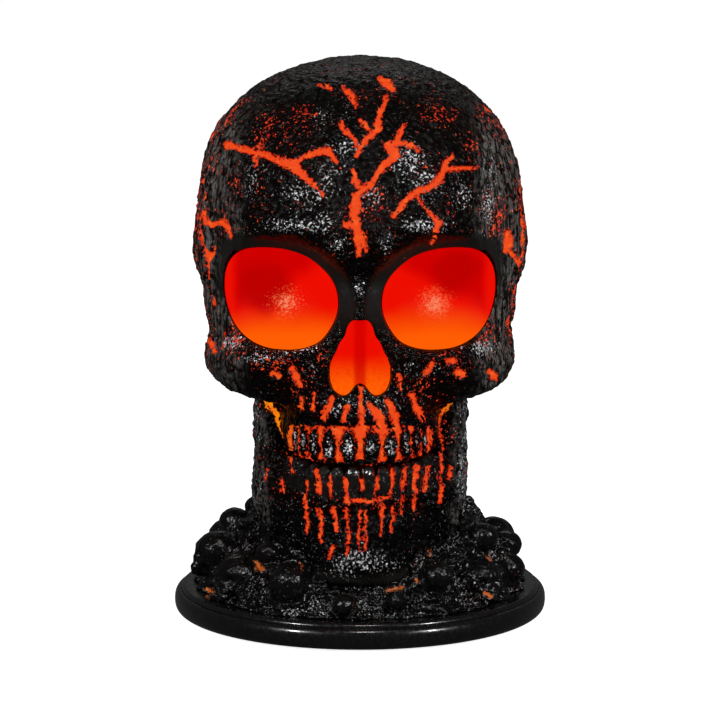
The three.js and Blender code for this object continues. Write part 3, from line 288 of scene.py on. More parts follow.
# the nose: the same, with the spine that rises from its foot
nose = {
    "z": 102.6, "halfWidth": 10.8, "halfHeight": 13.3, "floorY": -41.0, "rounding": 6,
    "outlineShares": [
        (0.0, 1.03), (0.27, 1.02), (0.47, 0.55), (0.76, 0.12), (0.96, -0.2), (1.01, -0.56), (0.88, -0.9),
        (0.62, -1.05), (0.36, -1.03), (0.22, -0.78), (0.0, -0.7), (-0.22, -0.78), (-0.36, -1.03),
        (-0.62, -1.05), (-0.88, -0.9), (-1.01, -0.56), (-0.96, -0.2), (-0.76, 0.12), (-0.47, 0.55),
        (-0.27, 1.02)],
}
socketCurve = closedCurve(socket["outlineShares"], socket["rounding"])
noseCurve = closedCurve(nose["outlineShares"], nose["rounding"])

head = {
    "crownZ": 196.7, "highest": 196.95, "widestZ": 137.0, "width": 115.4, "axisY": 4.0, "front": 56.0,
    "back": 59.0, "cheekHalf": 52.6, "cheekUnderZ": 77.5, "cheekTopZ": 87.0, "neckHalf": 29.0,
    "neckBack": 29.6, "toothEdgeZ": 64.0, "seatZ": 20.0, "domePower": 2.4, "backPower": 3.0,
    "sectionPower": 2.2, "wall": 3.2, "faceVoxel": 0.72, "rearVoxel": 0.9, "seamY": 8.0, "seamGap": 0.3,
    "lipReach": 2.4, "lipWall": 1.5, "lipFit": 0.15,
    # swellings of the face: across, up, half sizes and how far forward; both sides alike
    "faceSwells": [
        (22, 149.5, 14, 4.2, 4.6), (7, 143, 5, 6, 3.2), (0, 129, 8, 9, -5.5), (0, 119, 3.6, 8, 4.8),
        (9, 112, 3.5, 9, -2.0), (12.5, 99, 2.8, 11, 2.0), (25, 84, 7, 7, -6), (41, 97, 9, 5.0, 5.2),
        (0, 82, 16, 5, 1.6), (27, 166, 14, 12, 1.6), (33, 101, 12, 3, 2.4), (0, 70, 36, 7, -2.2)],
    "sideSwells": [
        (-25, 128, 12, 16, -4), (-10, 94, 24, 6, 2.2), (16, 90, 8, 7, 2.0), (18, 74, 14, 18, 2.0),
        (5, 128, 28, 9, 2.0), (5, 110, 28, 6, 1.1), (5, 172, 28, 9, 0.9)],
}
# the upright edge between the forehead and the temple
temple = {"x": 42.5, "lowZ": 126.0, "highZ": 180.0, "step": 1.1}


def headSizes(z, inset):
    # half width and reach at a height: a superellipse dome over a face that tapers to the neck
    top = head["crownZ"] - inset
    lift = np.clip((z - head["widestZ"]) / (top - head["widestZ"]), 0, 1)
    dome, backDome = [(1 - lift ** power) ** (1 / power) for power in (head["domePower"], head["backPower"])]
    taper = mix(head["cheekHalf"], head["width"] / 2, ease(100, head["widestZ"], z))
    side = mix(head["neckHalf"], taper, ease(head["cheekUnderZ"], head["cheekTopZ"], z))
    back = mix(head["neckBack"], head["back"], ease(78, 128, z))
    return (side - inset) * dome, (head["front"] - inset) * dome, (back - inset) * backDome


def rimDistance(x, z):
    # how far out of the socket's outline a place is, 1 on the outline, and its turn
    across = (np.abs(x) - socket["x"]) / socket["halfWidth"]
    up = (z - socket["z"]) / socket["halfHeight"]
    turn = np.arctan2(up, across)
    return np.hypot(across, up) / reachAt(socketCurve, turn), turn


def headSkin(z, angle, inset, detail=True):
    # superellipse rings pushed forward and outward by the swellings, with a bevel into each socket
    side, front, back = headSizes(z, inset)
    sine, cosine = np.sin(angle), np.cos(angle)
    power = 2 / head["sectionPower"]
    across = np.sign(sine) * np.abs(sine) ** power
    along = np.abs(cosine) ** power
    x = side * across
    y = head["axisY"] + np.where(cosine > 0, -front, back) * along
    facing = ease(0.05, 0.5, cosine)
    beside = ease(0.3, 0.8, np.abs(sine))
    forward = sum(bumps(head["faceSwells"], np.abs(x), z))
    outward = sum(bumps(head["sideSwells"], y, z))
    if detail:
        rim, turn = rimDistance(x, z)
        aside = np.mod(turn - math.radians(socket["bevelTurn"]) + math.pi, 2 * math.pi) - math.pi
        inner = np.exp(-(aside / math.radians(socket["bevelSpread"])) ** 2)
        width, depth = mix(*socket["bevelShares"], inner), mix(*socket["bevelDepths"], inner)
        forward = forward - depth * (1 - np.clip((rim - 1) / width, 0, 1)) ** 1.3
        lip = np.exp(-((rim - 1.06 - width) / socket["ridgeShare"]) ** 2)
        forward = forward + socket["ridge"] * lip * ease(*socket["ridgeBand"], z)
    return np.stack([x + np.sign(across) * outward * beside, y - forward * facing, z + 0 * x], axis=-1)


def headGrid(inset, rows, columns, bottomZ, detail=True):
    # rings from the neck to the crown, closer together over the dome
    top = head["crownZ"] - inset
    straight = np.linspace(bottomZ, head["widestZ"], rows, endpoint=False)
    turn = np.linspace(0, math.pi / 2, rows // 2)[:-1]
    domed = head["widestZ"] + (top - head["widestZ"]) * np.sin(turn) ** (2 / head["domePower"])
    z = np.concatenate([straight, domed])[:, None]
    even = np.linspace(0, 2 * math.pi, columns, endpoint=False)[None, :]
    grid = headSkin(z, even - 0.45 * np.sin(even), inset, detail)
    crown = np.broadcast_to(np.array([0, head["axisY"], top]), (1, columns, 3))
    return np.concatenate([grid, crown])


def faceAt(x, z):
    # depth of the face at a place in the front view, by halving the turn about the axis
    low, high = np.zeros(x.shape), np.full(x.shape, math.pi / 2)
    for _ in range(24):
        middle = (low + high) / 2
        beyond = headSkin(z, middle, 0)[..., 0] > np.abs(x)
        low, high = np.where(beyond, low, middle), np.where(beyond, middle, high)
    return headSkin(z, low, 0)[..., 1]


def socketGrid(side, gap, depths, rimInset=0.0, wall=0.0):
    # outline rings that follow the face at the rim and narrow like a bowl towards the bottom
    turn = np.linspace(-math.pi, math.pi, 120, endpoint=False)[None, :]
    reach = reachAt(socketCurve, turn)
    share = np.array(depths)[:, None]
    widthShare = np.sqrt(np.clip(1 - share ** 2.4, 0.004, 1))
    shrink = gap + wall * ease(-0.15, 0.5, share)
    u, v = reach * np.cos(turn), reach * np.sin(turn)
    x = side * (socket["x"] + (socket["halfWidth"] * widthShare - shrink) * u)
    z = socket["z"] + (socket["halfHeight"] * widthShare - shrink) * v
    rim = faceAt(socket["x"] + socket["halfWidth"] * u, socket["z"] + socket["halfHeight"] * v) + rimInset
    y = mix(rim, socket["bottomY"] - shrink, share) + 0 * x
    grid = np.stack([x, y, z], axis=-1)
    return grid[:, ::-1] if side > 0 else grid


def socketTool(side):
    # the socket's outline swept straight back through the shell
    rim = socketGrid(side, 0, [0])
    front, back = rim.copy(), rim.copy()
    front[..., 1], back[..., 1] = -80, -12
    return np.concatenate([front, back])


def noseGrid(shrink, ys):
    # the nose outline swept along Y
    turn = np.linspace(-math.pi, math.pi, 120, endpoint=False)[None, :]
    reach = reachAt(noseCurve, turn)
    x = (nose["halfWidth"] - shrink) * reach * np.cos(turn)
    z = nose["z"] + (nose["halfHeight"] - shrink) * reach * np.sin(turn)
    y = np.array(ys, float)[:, None]
    return np.stack([x + 0 * y, y + 0 * x, z + 0 * y], axis=-1)[:, ::-1]


def archAt(distance, inset):
    # place and facing at a distance along the tooth line, from summed chord lengths
    angle = np.linspace(0, math.pi / 2, 400)
    line = headSkin(np.full(400, head["toothEdgeZ"]), angle, inset, False)
    lengths = np.concatenate([[0], np.cumsum(np.linalg.norm(np.diff(line, axis=0), axis=1))])
    x = np.interp(abs(distance), lengths, line[:, 0])
    y = np.interp(abs(distance), lengths, line[:, 1])
    step = 0.4
    dx = np.interp(abs(distance) + step, lengths, line[:, 0]) - x
    dy = np.interp(abs(distance) + step, lengths, line[:, 1]) - y
    side = math.copysign(1, distance)
    return side * x, y, side * math.atan2(dy, dx)


def toothGrid(distance, width, row):
    # a crown: rounded square rings, widest near the biting edge, narrowing to the root
    half, edgeZ, rootZ = width / 2, row["edgeZ"], row["rootZ"]
    x0, y0, turn = archAt(distance, half - row["proud"])
    share = np.linspace(0, 1, 20)[:, None]
    angle = np.linspace(0, 2 * math.pi, 28, endpoint=False)[None, :]
    if rootZ > edgeZ:
        angle = -angle
    foot = np.sqrt(np.clip(1 - (1 - np.clip(share / 0.14, 0, 1)) ** 2, 0.05, 1))
    swell = foot * (mix(0.84, 1, ease(0, 0.35, share)) - row["taper"] * ease(0.45, 1, share) ** 1.5)
    c, d = np.cos(angle), np.sin(angle)
    x = half * swell * np.sign(c) * np.abs(c) ** 0.8
    y = half * swell * np.sign(d) * np.abs(d) ** 0.8
    z = mix(edgeZ, rootZ, share) + 0 * x
    c, s = math.cos(turn), math.sin(turn)
    grid = np.stack([x0 + x * c - y * s, y0 + x * s + y * c, z], axis=-1)
    return grid[:, ::-1] if rootZ > edgeZ else grid


# the teeth, from the middle outwards; floorBand is the glowing floor between the upper crowns as the
# camera sees it: lowest, highest, half width
bite = 0.7
teeth = {
    "upper": {
        "widths": [7.8, 7.0, 6.6, 5.6, 5.2], "crownShare": 0.66, "edgeZ": head["toothEdgeZ"], "rootZ": 78.0,
        "proud": 2.7, "taper": 0.6},
    "lower": {
        "widths": [5.6, 5.2, 5.0, 5.2, 5.4, 5.6, 5.2], "crownShare": 0.86, "edgeZ": head["toothEdgeZ"] - bite,
        "rootZ": 48.0, "proud": 2.4, "taper": 0.1},
    "floorBand": (54.8, 66.8, 25.0),
}


def toothPlaces(row):
    # distance of each tooth's middle along the tooth line, and the width of its crown
    places = []
    for side in (-1, 1):
        start = 0.0
        for width in row["widths"]:
            places.append((side * (start + width / 2), width * row["crownShare"]))
            start += width
    return places


def toothRow(row):
    # every tooth of a row as a closed grid
    return [closedGrid(toothGrid(distance, width, row)) for distance, width in toothPlaces(row)]


def crownSpots():
    # where the upper crowns show in the front view: across, up as the camera sees it, half sizes
    row, spots = teeth["upper"], []
    middle, tall = mix(row["edgeZ"], row["rootZ"], 0.46), (row["rootZ"] - row["edgeZ"]) * 0.48
    for distance, width in toothPlaces(row):
        half = width / 2
        x, y, turn = archAt(distance, half - row["proud"])
        spots.append((x, middle + lean * (y - half), half * (0.4 + 0.75 * math.cos(turn)), tall))
    return spots


# glowing cracks, drawn in the front view: across, up as the camera sees it, half width
frontLines = [
    [(-0.4, 128.1, 0.8), (-1.1, 136.4, 1.5), (-1.8, 142.9, 1.7), (-0.7, 149.8, 1.2)],
    [(0.0, 152.4, 0.9), (-1.8, 155.2, 1.3), (-2.5, 157.8, 0.6)],
    [(-0.7, 149.8, 1.2), (4.3, 153.4, 1.2), (7.1, 157.8, 1.1), (9.6, 161.0, 1.3), (12.0, 163.9, 1.9),
     (9.6, 167.2, 1.2)],
    [(10.6, 166.8, 1.2), (12.8, 168.7, 1.0), (14.2, 172.3, 0.9), (15.6, 175.2, 0.5)],
    [(12.0, 167.2, 1.0), (15.6, 167.9, 0.9), (18.1, 167.2, 0.9), (20.2, 165.0, 0.4)],
    [(-1.4, 163.2, 0.5), (1.4, 168.7, 1.1), (6.0, 173.0, 1.2), (6.7, 177.7, 1.1), (8.5, 182.1, 0.8),
     (9.6, 185.3, 0.6)],
    [(-1.4, 166.1, 0.4), (-2.1, 169.7, 0.8), (-5.3, 172.3, 0.9), (-6.4, 175.2, 0.6)],
    [(2.8, 173.0, 0.5), (0.4, 176.3, 0.7)], [(6.4, 192.2, 0.7), (9.2, 190.0, 1.6), (11.3, 188.2, 1.1)],
    [(-6.0, 187.8, 0.6), (-2.5, 185.3, 1.1), (-1.8, 181.7, 0.5)], [(-14.2, 189.3, 0.4), (-10.3, 188.2, 0.7)],
    [(-46.4, 167.9, 1.6), (-42.5, 166.5, 0.9), (-36.5, 165.0, 1.1), (-31.9, 163.6, 0.9), (-28.0, 161.4, 1.3),
     (-22.7, 159.6, 2.0), (-19.8, 156.0, 1.3), (-15.2, 152.4, 0.7), (-13.1, 148.7, 0.4)],
    [(-22.7, 160.0, 1.1), (-20.2, 162.9, 0.8), (-15.6, 164.7, 1.1), (-11.3, 165.4, 1.3), (-9.6, 163.2, 1.0),
     (-8.1, 161.4, 0.5)],
    [(-34.7, 167.9, 0.5), (-36.1, 163.9, 0.8), (-36.5, 159.2, 0.3)],
    [(12.0, 141.8, 0.7), (14.5, 145.8, 1.1), (19.1, 150.2, 1.0), (25.5, 153.1, 1.2), (28.7, 157.1, 1.0),
     (30.1, 161.0, 0.9), (32.6, 163.9, 0.4)],
    [(30.1, 158.9, 0.8), (33.7, 158.5, 0.7), (36.8, 159.2, 0.6), (41.4, 159.6, 0.3)],
    [(19.1, 149.8, 0.4), (21.6, 146.6, 0.5), (23.7, 144.0, 0.6), (27.6, 139.3, 1.1), (25.9, 135.3, 0.7),
     (24.8, 132.1, 0.4)],
    [(-5.3, 139.0, 0.9), (-1.1, 137.5, 1.2), (0.7, 134.2, 1.0), (2.5, 128.8, 0.4)],
    [(-54.9, 144.0, 0.6), (-54.2, 140.8, 0.9), (-51.7, 139.3, 0.9), (-47.5, 140.0, 1.0), (-46.1, 137.1, 0.8),
     (-45.3, 134.2, 0.3)],
    [(51.7, 136.4, 1.0), (51.9, 132.8, 1.5), (51.4, 129.2, 0.8)],
    [(-23.7, 87.5, 0.7), (-22.3, 85.3, 1.1), (-21.3, 82.1, 0.5)], [(-30.8, 85.7, 0.8), (-28.7, 85.0, 0.9)],
    [(13.5, 85.7, 0.6), (14.2, 80.3, 0.7)], [(22.7, 85.7, 0.6), (25.2, 89.0, 0.9)],
    [(30.8, 90.4, 1.0), (32.2, 90.4, 1.2)], [(34.4, 86.4, 1.2), (35.4, 85.3, 1.2)],
    [(45.3, 86.4, 0.8), (47.1, 84.6, 1.0)], [(-52.1, 96.6, 1.0), (-51.0, 93.7, 0.7)],
    [(-54.9, 99.1, 0.6), (-53.5, 97.7, 0.8)], [(52.4, 104.5, 0.6), (53.8, 101.6, 0.9)],
    # between the roots of the upper teeth
    [(-0.4, 84.0, 0.5), (0.2, 80.0, 0.6), (0.0, 76.7, 0.8), (0.4, 71.6, 1.1), (0.0, 65.8, 1.0)],
    [(3.2, 74.5, 0.8), (6.0, 71.6, 1.7), (7.8, 68.0, 1.6), (9.2, 64.7, 1.0)],
    [(9.2, 77.0, 0.8), (11.3, 72.3, 1.2), (13.5, 67.2, 1.1)],
    [(18.1, 78.5, 0.8), (19.8, 73.8, 1.3), (22.3, 69.0, 0.9)], [(-4.3, 74.1, 0.7), (-6.0, 69.4, 0.9)],
    [(-9.6, 78.1, 0.6), (-11.3, 73.8, 1.0), (-12.4, 69.8, 0.9)], [(-15.9, 78.1, 0.5), (-16.3, 73.0, 0.7)],
    [(-20.5, 77.4, 0.4), (-20.9, 73.0, 0.5)],
    # under the upper crowns
    [(2.5, 52.4, 0.5), (8.9, 51.3, 0.8), (15.2, 52.7, 0.9), (21.3, 53.1, 0.9), (25.9, 54.9, 0.5)],
]
jawLines = [
    [(-34.4, 79.5, 0.7), (-31.9, 74.1, 1.0), (-29.4, 71.2, 1.0), (-28.7, 68.0, 0.8), (-26.6, 64.3, 0.9),
     (-24.8, 56.7, 0.8), (-23.7, 50.2, 0.5)],
    [(33.3, 80.6, 0.9), (31.2, 74.1, 0.8), (27.6, 71.2, 0.9), (27.3, 66.9, 0.7), (29.0, 59.3, 0.6),
     (28.7, 50.9, 0.9)],
    # between the lower crowns, with the line along their gum
    [(-18.8, 48.0, 0.6), (-18.4, 44.1, 0.7)], [(-15.2, 51.3, 1.1), (-14.2, 43.3, 1.0)],
    [(-10.3, 49.1, 0.7), (-9.9, 42.2, 0.6)], [(-5.3, 48.0, 1.0), (-4.6, 40.8, 1.1)],
    [(0.7, 49.8, 0.8), (0.7, 44.1, 0.7)], [(6.0, 51.3, 0.8), (5.7, 43.7, 0.7)],
    [(11.3, 51.3, 0.9), (11.0, 43.3, 0.8)], [(15.9, 52.4, 0.9), (14.9, 44.8, 0.8)],
    [(19.8, 52.4, 1.0), (19.1, 44.1, 0.9)], [(24.1, 52.7, 0.8), (22.7, 44.8, 0.8)],
    [(-5.0, 40.4, 0.9), (-1.8, 40.4, 0.9), (5.0, 40.4, 0.9), (10.6, 41.9, 0.5)],
    # down the roots to the chin
    [(-19.5, 42.2, 0.7), (-18.4, 35.4, 1.0), (-18.8, 29.2, 0.6)],
    [(-14.5, 37.2, 0.8), (-13.8, 32.1, 0.9), (-13.8, 25.6, 0.5)],
    [(-9.6, 38.6, 0.7), (-8.1, 33.6, 1.0), (-8.5, 29.2, 0.5)], [(-9.6, 23.8, 0.8), (-11.0, 19.8, 0.5)],
    [(-4.3, 37.5, 0.7), (-4.3, 29.2, 0.7), (-4.6, 20.5, 0.4)], [(0.0, 36.8, 0.5), (-0.4, 23.0, 0.4)],
    [(2.1, 36.8, 0.5), (1.8, 23.0, 0.5)], [(7.8, 38.3, 0.9), (7.4, 28.1, 0.5)],
    [(11.7, 38.3, 0.4), (11.0, 29.9, 0.3)], [(14.9, 42.2, 0.8), (14.2, 35.0, 0.5)],
    [(19.8, 44.4, 0.8), (18.8, 37.2, 0.4)], [(-27.6, 48.0, 0.7), (-27.3, 43.3, 0.9)],
    [(28.0, 49.1, 0.7), (28.7, 44.8, 1.1), (28.3, 40.1, 0.9)], [(32.6, 52.4, 0.5), (31.5, 48.0, 0.7)],
    [(-32.6, 50.9, 0.4), (-33.3, 47.3, 0.6)],
]
# on each side of the head: back along Y, up, half width
sideLines = [
    [(-12, 108, 0.6), (-8, 118, 1.1), (-10, 128, 1.4), (-4, 139, 1.2), (-7, 149, 1.0), (-2, 158, 0.6)],
    [(-4, 139, 1.1), (6, 145, 1.2), (14, 143, 0.8), (21, 149, 1.0), (25, 158, 0.5)],
    [(-10, 128, 1.0), (-17, 134, 1.0), (-22, 143, 0.9), (-21, 153, 0.4)],
    [(14, 104, 0.5), (18, 113, 1.1), (27, 119, 1.4), (33, 129, 1.0), (31, 139, 0.5)],
    [(27, 119, 1.0), (36, 114, 0.9), (42, 117, 0.5)], [(5, 166, 0.4), (9, 174, 1.1), (4, 182, 0.7)],
    [(22, 92, 0.4), (16, 99, 0.9), (6, 102, 0.6)],
]
# on the back of the head: across, up, half width
backLines = [
    [(2, 96, 0.5), (-1, 108, 1.2), (3, 119, 1.5), (-2, 131, 1.4), (0, 142, 0.9)],
    [(3, 119, 1.2), (13, 126, 1.1), (19, 137, 1.3), (30, 143, 0.9), (33, 152, 0.4)],
    [(-2, 131, 1.1), (-12, 138, 1.4), (-17, 149, 1.1), (-13, 160, 0.8), (-17, 169, 0.4)],
    [(-12, 138, 0.8), (-23, 133, 1.0), (-32, 137, 0.5)], [(-1, 108, 0.9), (-12, 103, 1.0), (-20, 107, 0.5)],
    [(8, 156, 0.4), (5, 166, 1.2), (11, 176, 0.9), (8, 184, 0.4)],
    [(19, 137, 0.8), (16, 148, 0.9), (20, 157, 0.4)],
    [(-6, 44, 0.4), (-3, 56, 0.9), (-8, 67, 0.8), (-5, 80, 0.5)],
    [(12, 50, 0.4), (9, 61, 0.8), (14, 72, 0.5)],
]


def lineDistance(across, up, lines, widening=0.9):
    # distance to the nearest line less its half width there, over all the segments
    nearest = np.full(len(across), 20.0)
    for line in lines:
        for (x0, z0, w0), (x1, z1, w1) in zip(line, line[1:]):
            dx, dz = x1 - x0, z1 - z0
            t = np.clip(((across - x0) * dx + (up - z0) * dz) / (dx * dx + dz * dz), 0, 1)
            gap = np.hypot(across - x0 - t * dx, up - z0 - t * dz) - mix(w0, w1, t) * widening
            nearest = np.minimum(nearest, gap)
    return nearest


def toothFloor(across, up, crowns, band):
    # distance to the glowing floor between the crowns: outside each crown, inside the band
    crown = np.min([
        (np.hypot((across - x) / wide, (up - z) / tall) - 1) * wide for x, z, wide, tall in crowns], axis=0)
    low, high, reach = band
    outside = np.maximum(np.abs(up - (low + high) / 2) - (high - low) / 2, np.abs(across) - reach)
    return np.maximum(0.1 - crown, outside)


def lavaDistance(points, lines, onHead=True):
    # front lines where the surface is in front, side and back lines round the rest
    x, y, z = points.T
    wander = np.stack([roughNoise(points, 3.4, 61, 2), roughNoise(points, 3.4, 66, 2)]) * 0.55
    front = y < head["seamY"] - 6
    found = np.full(len(points), 20.0)
    across, up = (x + wander[0])[front], (z + lean * y + wander[1])[front]
    found[front] = lineDistance(across, up, lines, 1.0 if onHead else 0.7)
    if onHead:
        found[front] = np.minimum(found[front], toothFloor(across, up, crownSpots(), teeth["floorBand"]))
        beside = np.abs(x) > 30
        shift = np.where(x > 0, 0.0, 5.0)
        back, rise = y + shift + wander[0], z - 0.6 * shift + wander[1]
        onSide = lineDistance(back[beside], rise[beside], sideLines)
        outward = ease(-30, -18, y[beside]) * (1 - ease(34, 44, y[beside]))
        found[beside] = np.minimum(found[beside], mix(20.0, onSide, outward))
    behind = y > 12
    onBack = lineDistance((x + wander[0])[behind], (z + wander[1])[behind], backLines)
    found[behind] = np.minimum(found[behind], mix(20.0, onBack, 1 - ease(34, 42, np.abs(x[behind]))))
    return found


# the crust: size of each kind of roughness and how far it stands out, the cracks' raised lips (height,
# distance from the crack, half width) and depth, and the furthest that the skin moves in and out
crustForm = {
    "lumpSize": 8.0, "lumps": 0.5, "pebbleSize": 2.5, "pebbles": 0.7, "gritSize": 1.5, "grit": 0.24,
    "dripSize": 2.0, "drips": 0.45, "dripSquash": 0.2, "lip": 0.34, "lipAt": 0.9, "lipHalf": 0.6,
    "crackDepth": 0.9, "deepest": 1.4, "proudest": 0.9,
}


def crust(target, lines, masks, onHead=True, strength=1.0):
    # pushes the skin along its normals: lumps, pebbles, grit, drips, then cracks with raised lips
    f = crustForm
    points, normals = readPoints(target)
    pebble, drip, smoothed = masks(points)
    move = f["lumps"] * roughNoise(points, f["lumpSize"], 11, 3) * (1 - 0.7 * smoothed)
    move += f["pebbles"] * (0.45 - cellNoise(points, f["pebbleSize"], 21)) * pebble
    move += f["grit"] * roughNoise(points, f["gritSize"], 31, 2) * (1 - 0.85 * smoothed)
    move += f["drips"] * roughNoise(points * [1, 1, f["dripSquash"]], f["dripSize"], 41, 2) * drip
    move *= strength
    if onHead:
        move *= 1 - hollows(points)
    lava = lavaDistance(points, lines, onHead)
    lips = f["lip"] * np.exp(-((lava - f["lipAt"]) / f["lipHalf"]) ** 2)
    move += lips - f["crackDepth"] * (1 - ease(-0.6, 0.5, lava))
    moved = points + normals * np.clip(move, -f["deepest"], f["proudest"] * strength)[:, None]
    moved[:, 2] = np.minimum(moved[:, 2], head["highest"])
    writePoints(target, moved)
    return target


def hollows(points):
    # 1 inside the eye sockets and the nose, where the inserts sit
    x, y, z = points.T
    rim, _ = rimDistance(x, z)
    turn = np.arctan2((z - nose["z"]) / nose["halfHeight"], x / nose["halfWidth"])
    noseRim = np.hypot((z - nose["z"]) / nose["halfHeight"], x / nose["halfWidth"]) / reachAt(noseCurve, turn)
    return (1 - ease(-24, -18, y)) * (1 - ease(1.0, 1.07, np.minimum(rim, noseRim)))


def headMasks(points):
    # where the head is pebbled, where it drips, and where it is smooth
    x, y, z = points.T
    inFront = 1 - ease(-26, -10, y)
    rim, _ = rimDistance(x, z)
    smoothed = inFront * (1 - ease(1.2, 1.38, rim)) * ease(106, 122, z)
    beside = ease(temple["x"] - 1.0, temple["x"] + 1.5, np.abs(x))
    pebble = (0.4 + 0.6 * inFront * (1 - beside)) * (1 - smoothed)
    drip = 0.2 + 0.8 * np.maximum(beside, 1 - ease(70, 84, z))
    return pebble, drip * (1 - smoothed), smoothed


def templeStep(target):
    # the forehead's front ends in an upright edge on each side, and the temple lies a step behind it
    points, normals = readPoints(target)
    x, y, z = points.T
    edge = temple["x"] + 0.5 * softNoise(points * np.array([0, 0, 1]), 9, 71)
    step = ease(edge - 0.7, edge + 0.7, np.abs(x)) * (1 - ease(52, 56, np.abs(x)))
    tall = ease(temple["lowZ"], temple["lowZ"] + 8, z) * (1 - ease(temple["highZ"] - 14, temple["highZ"], z))
    inFront = 1 - ease(-22, -8, y)
    writePoints(target, points - normals * (temple["step"] * step * tall * inFront)[:, None])


print("building the head")
skull = makeObject("skull", *closedGrid(headGrid(0, 150, 260, head["seatZ"])))
for side in (-1, 1):
    carved(skull, tool(socketTool(side)))
carved(skull, tool(noseGrid(0, [-80, -60, nose["floorY"] + 1.5])))
carved(skull, makeObject("tool", *joined(toothRow(teeth["upper"]))), "UNION")


def hollow(inset):
    # the room inside the head, below an even wall
    return tool(headGrid(inset, 130, 200, head["seatZ"] - 8))


def headShell(name, voxel, low, high, wall):
    # the crusted head between two corners, less the hollow inside
    shell = bpy.data.objects.new(name, skull.data.copy())
    bpy.context.scene.collection.objects.link(shell)
    fused(shell, voxel, 2)
    templeStep(shell)
    crust(shell, frontLines, headMasks)
    carved(shell, box(low, high), "INTERSECT")
    return carved(shell, hollow(wall))


# the rear shell's lip reaches into the face shell above the teeth
aside, above = 80.0, 260.0  # past every piece, for the corners of cutting boxes
seam, seamEnd, wall = head["seamY"], head["seamY"] + head["seamGap"], head["wall"]
lipEnd, lipZ = seam - head["lipReach"], head["toothEdgeZ"] + 3
faceShell = headShell(
    "faceShell", head["faceVoxel"], (-aside, -aside, head["toothEdgeZ"]), (aside, seam, above), wall)
rearShell = headShell(
    "rearShell", head["rearVoxel"], (-aside, lipEnd, head["seatZ"]), (aside, aside, above),
    wall + head["lipWall"])
carved(rearShell, carved(hollow(wall), box((-aside, seam + 3, 0), (aside, aside, above)), "INTERSECT"))
carved(rearShell, box((-aside, -aside, 0), (aside, seamEnd, lipZ)))
aroundLip = box((-aside, -aside, lipZ - 1), (aside, seamEnd, above))
carved(rearShell, carved(aroundLip, hollow(wall + head["lipFit"])))
bpy.data.objects.remove(skull)
print("head:", len(faceShell.data.vertices), len(rearShell.data.vertices), "points")

# lower jaw: a horseshoe wall whose top and bottom edges rise from the chin to the joints
jaw = {
    "gumZ": 53.0, "setBack": 3.4, "flare": 4.0, "bendShare": 0.52, "endShare": 0.78, "endTurn": 99.0,
    "thickness": 8.2, "branchTopZ": 85.0, "cornerZ": 30.0, "chinZ": 20.4, "chinProud": 2.4,
    "chinBumpZ": 27.0, "voxel": 0.6, "room": 0.5,
}


def jawGrid(rings, corners, grow):
    # rounded oblong rings set along the tooth line, pushed out by the flare and the chin
    turn = np.radians(np.linspace(-jaw["endTurn"], jaw["endTurn"], rings))[:, None]
    share = np.abs(turn) / (math.pi / 2)
    sideReach, frontReach, _ = headSizes(np.array(head["toothEdgeZ"]), 0)
    outX, outY = np.sin(turn) / sideReach, -np.cos(turn) / frontReach
    length = np.hypot(outX, outY)
    outX, outY = outX / length, outY / length
    flare = mix(-jaw["setBack"], jaw["flare"], ease(jaw["bendShare"], jaw["endShare"], share))
    line = headSkin(np.full(turn.shape, head["toothEdgeZ"]), turn, 0, False)
    top = mix(jaw["gumZ"], jaw["branchTopZ"], ease(0.6, 0.88, share)) + grow
    bottom = mix(jaw["chinZ"], jaw["cornerZ"], ease(0.25, 0.85, share)) - grow
    angle = -np.linspace(0, 2 * math.pi, corners, endpoint=False)[None, :]
    out, up = [np.sign(wave) * np.abs(wave) ** 0.6 for wave in (np.cos(angle), np.sin(angle))]
    z = mix(bottom, top, (up + 1) / 2)
    chin = jaw["chinProud"] * bump(share / 0.22, (z - jaw["chinBumpZ"]) / jaw["thickness"])
    reach = flare + (jaw["thickness"] / 2 + grow) * out + chin * np.maximum(0, out)
    return np.stack([line[..., 0] + outX * reach, line[..., 1] + outY * reach, z], axis=-1)


def jawMasks(points):
    # ribs of the roots in front, drips on the branches, a smooth chin
    _, y, z = points.T
    inFront = 1 - ease(-38, -24, y)
    smoothed = inFront * (1 - ease(23, 27, z)) + 0.6 * inFront * ease(51, 53, z)
    pebble = 0.5 + 0.5 * (1 - inFront)
    return pebble * (1 - smoothed), 0.9 - 0.6 * smoothed, smoothed


print("building the jaw")
lowerJaw = makeObject("lowerJaw", *joined([closedGrid(jawGrid(160, 64, 0))] + toothRow(teeth["lower"])))
fused(lowerJaw, jaw["voxel"], 2)
crust(lowerJaw, jawLines, jawMasks, False, 1.35)


def headRoom(low):
    # the plain head, a little larger, above and behind a corner
    room = tool(headGrid(-jaw["room"], 60, 110, 10, False))
    return carved(room, box(low, (aside, aside, above)), "INTERSECT")


carved(lowerJaw, headRoom((-aside, -aside, head["toothEdgeZ"] - 0.4)))
carved(lowerJaw, headRoom((-aside, seam - 0.3, 0)))
print("jaw:", len(lowerJaw.data.vertices), "points")

# eye inserts: smooth translucent bowls just behind the rims
insert = {"gap": 0.35, "wall": 1.5, "rimInset": 1.3, "noseFrontY": -51.0, "ridge": 5.5, "ridgeHalf": 1.7}


def eyeInsert(name, side):
    # the outer bowl from its bottom to the rim, then the inner bowl back down
    depths = [1, 0.995, 0.98, 0.95, 0.9, 0.82, 0.72, 0.6, 0.46, 0.3, 0.14, 0]
    outer = socketGrid(side, insert["gap"], depths, insert["rimInset"])
    inner = socketGrid(side, insert["gap"], depths[::-1], insert["rimInset"], wall=insert["wall"])
    return makeObject(name, *closedGrid(np.concatenate([outer, inner])[:, ::-1]))


